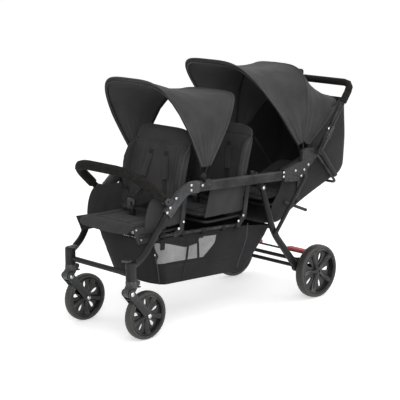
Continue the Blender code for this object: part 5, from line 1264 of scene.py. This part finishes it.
def basket_side(u, share, way):
    """A point of the basket's side wall: u from front to rear, share from floor to rim."""
    front = FRONT_LOW + FRONT_SPREAD * share
    back = REAR_LOW + REAR_SPREAD * share
    half = LOW_HALF + TOP_HALF * min(1.0, share * 1.3)
    floor_z = FLOOR_FRONT - FLOOR_FALL * u
    rim_z = RIM_FRONT + (RIM_REAR - RIM_FRONT) * max(0.0, u) ** 2.6
    drawn = 0.026 * (max(0.0, 1 - u / 0.06) ** 2 + max(0.0, (u - 0.94) / 0.06) ** 2)
    slack = 0.0035 * math.sin(math.pi * min(1.0, share)) * math.sin(math.pi * u)
    slack += 0.0012 * math.sin(19 * u + 7 * share) * math.sin(math.pi * min(1.0, share))
    return Vector((front + (back - front) * u, way * (half - drawn + slack),
                   floor_z + (rim_z - floor_z) * share))


def on_basket(x, z, way, proud=0.0):
    """The wall's point at a place seen from the side."""
    u, share = 0.5, 0.5
    for _ in range(12):
        front, back = FRONT_LOW + FRONT_SPREAD * share, REAR_LOW + REAR_SPREAD * share
        u = min(1.0, max(0.0, (front - x) / (front - back)))
        low = FLOOR_FRONT - FLOOR_FALL * u
        share = (z - low) / (RIM_FRONT + (RIM_REAR - RIM_FRONT) * u ** 2.6 - low)
    return basket_side(u, share, way) + Vector((0, way * proud, 0))


WINDOW = [(0.496, 0.390), (0.486, 0.357), (0.467, 0.324), (0.467, 0.287), (0.326, 0.282), (0.214, 0.275),
          (0.157, 0.330), (0.145, 0.369), (0.245, 0.377), (0.268, 0.352), (0.309, 0.347), (0.332, 0.347),
          (0.433, 0.379)]


def inside(x, z, outline):
    """Whether a place lies within an outline."""
    held = False
    for (x1, z1), (x2, z2) in zip(outline, outline[1:] + outline[:1]):
        if (z1 > z) != (z2 > z) and x < (x2 - x1) * (z - z1) / (z2 - z1) + x1:
            held = not held
    return held


SIDE_STEPS, END_STEPS, UP_STEPS = 120, 30, 30
shape = bmesh.new()
grid = []
for j in range(UP_STEPS + 1):
    share = j / UP_STEPS
    ring = [basket_side(k / SIDE_STEPS, share, 1) for k in range(SIDE_STEPS + 1)]
    rear_one, rear_two = basket_side(1.0, share, 1), basket_side(1.0, share, -1)
    front_one, front_two = basket_side(0.0, share, -1), basket_side(0.0, share, 1)
    for one, two, push in ((rear_one, rear_two, -0.012), (front_one, front_two, 0.012)):
        if push > 0:
            ring += [basket_side(1 - k / SIDE_STEPS, share, -1) for k in range(SIDE_STEPS + 1)]
        for k in range(1, END_STEPS):
            t = k / END_STEPS
            bow = push * (1 - (2 * t - 1) ** 4)
            ring.append(one.lerp(two, t) + Vector((bow, 0, -0.004 * share * math.sin(math.pi * t))))
    grid.append([shape.verts.new(p) for p in ring])
around = len(grid[0])
for j in range(UP_STEPS):
    for i in range(around):
        k = (i + 1) % around
        face = shape.faces.new((grid[j][i], grid[j][k], grid[j + 1][k], grid[j + 1][i]))
        spot = face.calc_center_median()
        if abs(spot.y) > 0.12 and inside(spot.x, spot.z, WINDOW):
            face.material_index = 1
shape.faces.new(list(reversed(grid[0])))
bmesh.ops.recalc_face_normals(shape, faces=shape.faces)
mesh = bpy.data.meshes.new("basket_bag")
shape.to_mesh(mesh)
area = sum(face.calc_area() for face in shape.faces)
shape.free()
mesh.materials.append(basket_cloth)
mesh.materials.append(net_cloth)
basket = bpy.data.objects.new("basket_bag", mesh)
bpy.context.scene.collection.objects.link(basket)
wall = basket.modifiers.new("cloth", "SOLIDIFY")
wall.thickness = 0.0016
wall.offset = -1.0
crisp(mesh, 60)

LOWER_RAIL_Y, LOOP_ROUND = 0.1905, 0.0084
TAPE, STRAP = band(0.0040, 0.0036, 0.0009), band(0.0060, 0.0054, 0.0014)
trims = []
for side, way in SIDES:
    out = Vector((0, way, 0))

    def along(points, steps=8, proud=0.0004, way=way):
        """Points on the wall along a line of (x, z) places."""
        line = []
        for (x1, z1), (x2, z2) in zip(points, points[1:]):
            line += [on_basket(x1 + (x2 - x1) * k / steps, z1 + (z2 - z1) * k / steps, way, proud)
                     for k in range(steps)]
        return line + [on_basket(*points[-1], way, proud)]

    trims.append(swept(f"window_binding_{side}", along(WINDOW + WINDOW[:1], 6)[:-1], TAPE, webbing, up=out,
                       closed=True))
    for number, line in enumerate((((0.316, 0.392), (0.314, 0.369), (0.316, 0.283), (0.322, 0.190)),
                                   ((0.272, 0.392), (0.262, 0.369), (0.244, 0.280)))):
        trims.append(swept(f"basket_strap_{number}_{side}", along(line), STRAP, webbing, up=out))
    corner = [basket_side(0.012, 1 - k / 16, way) + Vector((0.0012, way * 0.0008, 0)) for k in range(17)]
    trims.append(swept(f"corner_piping_{side}", corner, disc(0.0020, 8), piping_cloth, up=out))
    trims.append(swept(f"side_piping_{side}",
                       along(((-0.044, 0.386), (-0.036, 0.330), (-0.022, 0.262), (-0.010, 0.222),
                              (-0.004, 0.191))), disc(0.0019, 8), piping_cloth, up=out))
    rim = [basket_side(k / 60, 1.0, way) + Vector((0, way * 0.0003, 0.0004)) for k in range(61)]
    trims.append(swept(f"rim_tape_{side}", rim, [(-0.0014, -0.0150), (0.0012, -0.0150), (0.0012, 0.0008),
                                                 (-0.0014, 0.0008)], webbing))
    tab = [on_basket(0.458, z, way, 0.0012) for z in (0.392, 0.380, 0.366, 0.352)]
    trims.append(swept(f"window_tab_{side}", tab, band(0.0125, 0.0118, 0.0016), webbing, up=out))
    for number, x in enumerate((0.462, 0.352, 0.236, 0.118, 0.034)):
        rail_z = 0.3888 + (x - 0.028) * (0.4150 - 0.3888) / 0.447
        wrap = [on_basket(x, rail_z - 0.034, way, 0.0010), on_basket(x, rail_z - 0.018, way, 0.0014)]
        for k in range(13):
            a = math.radians(-150 + 300 * k / 12)
            wrap.append(Vector((x, way * (LOWER_RAIL_Y - LOOP_ROUND * math.cos(math.pi - a)),
                                rail_z + LOOP_ROUND * math.sin(a))))
        facing = [out, out] + [(p - Vector((x, way * LOWER_RAIL_Y, rail_z))).normalized() for p in wrap[2:]]
        trims.append(swept(f"hanging_loop_{number}_{side}", wrap, band(0.0090, 0.0090, 0.0012), webbing,
                           up=facing))
    rivets(f"basket_snaps_{side}", "frame", [tuple(on_basket(x, z, way, 0.0006)) for x, z in (
        (0.458, 0.384), (0.476, 0.330))], 0.0034, 0.0018, 0.0050)
sewing = stitches("basket_stitches",
                  [[on_basket(0.40 - 0.016 * k, 0.268 - 0.0006 * k, way, 0.0016) for k in range(24)]
                   for way in (1, -1)], 0.006)
trims.append(sewing)
for trim in trims + [basket]:
    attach(trim, "frame")
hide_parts("storage_basket")

# Small covers: domed nylon caps pressed into the steering tubes, a padded sleeve over each arm of
# the shell's bar, and the plugged end of the rear seat's frame below it.
def domed(name, middle, radius, tall, finish, sides=36):
    """A low cap turned about the upright line through its middle."""
    shape = bmesh.new()
    rings = []
    for out, rise in ((1.0, 0.0), (1.0, 0.25), (0.93, 0.55), (0.75, 0.80), (0.45, 0.95)):
        rings.append([shape.verts.new(Vector(middle) +
                                      Vector((radius * out * math.cos(2 * math.pi * k / sides),
                                              radius * out * math.sin(2 * math.pi * k / sides),
                                              tall * rise))) for k in range(sides)])
    walled(shape, rings)
    return new_piece(name, mesh_from(shape, name, 45), finish)


STUB_Y, SLEEVE_Y = 0.2050, 0.2045
for side, way in SIDES:
    cap = domed(f"steering_cap_{side}", (0.638, way * 0.1675, 0.3338), 0.0215, 0.0085, casting_grey)
    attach(cap, "frame")
    high, low = Vector((-0.479, way * SLEEVE_Y, 0.6690)), Vector((-0.594, way * SLEEVE_Y, 0.5270))
    sleeve = []
    for k in range(33):
        t = k / 32
        puff = 0.0006 * math.sin(t * 40)
        sleeve.append(high.lerp(low, t) + Vector((puff, 0, puff)))
    cover = swept(f"bar_sleeve_{side}", sleeve, disc(0.0125, 20), panel_cloth, up=Vector((0, way, 0)))
    stub = swept(f"frame_stub_{side}",
                 [(x, way * STUB_Y, z) for x, z in ((-0.250, 0.4520), (-0.322, 0.4235), (-0.394, 0.3950))],
                 disc(0.0070, 24), tube_black, up=Vector((0, way, 0)))
    plug = swept(f"stub_plug_{side}",
                 [(x, way * STUB_Y, z) for x, z in ((-0.3935, 0.3952), (-0.3965, 0.3940))], disc(0.0075, 24),
                 casting_grey, up=Vector((0, way, 0)))
    for piece, slot in ((cover, "dark_cloth"), (stub, "satin_black_tube"), (plug, "grey_moulding")):
        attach(piece, "frame")
    rivets(f"basket_front_snaps_{side}", "frame",
           [(0.596, way * 0.1795, 0.4560), (0.570, way * 0.1795, 0.4120)], 0.0026, 0.0014, 0.0040)
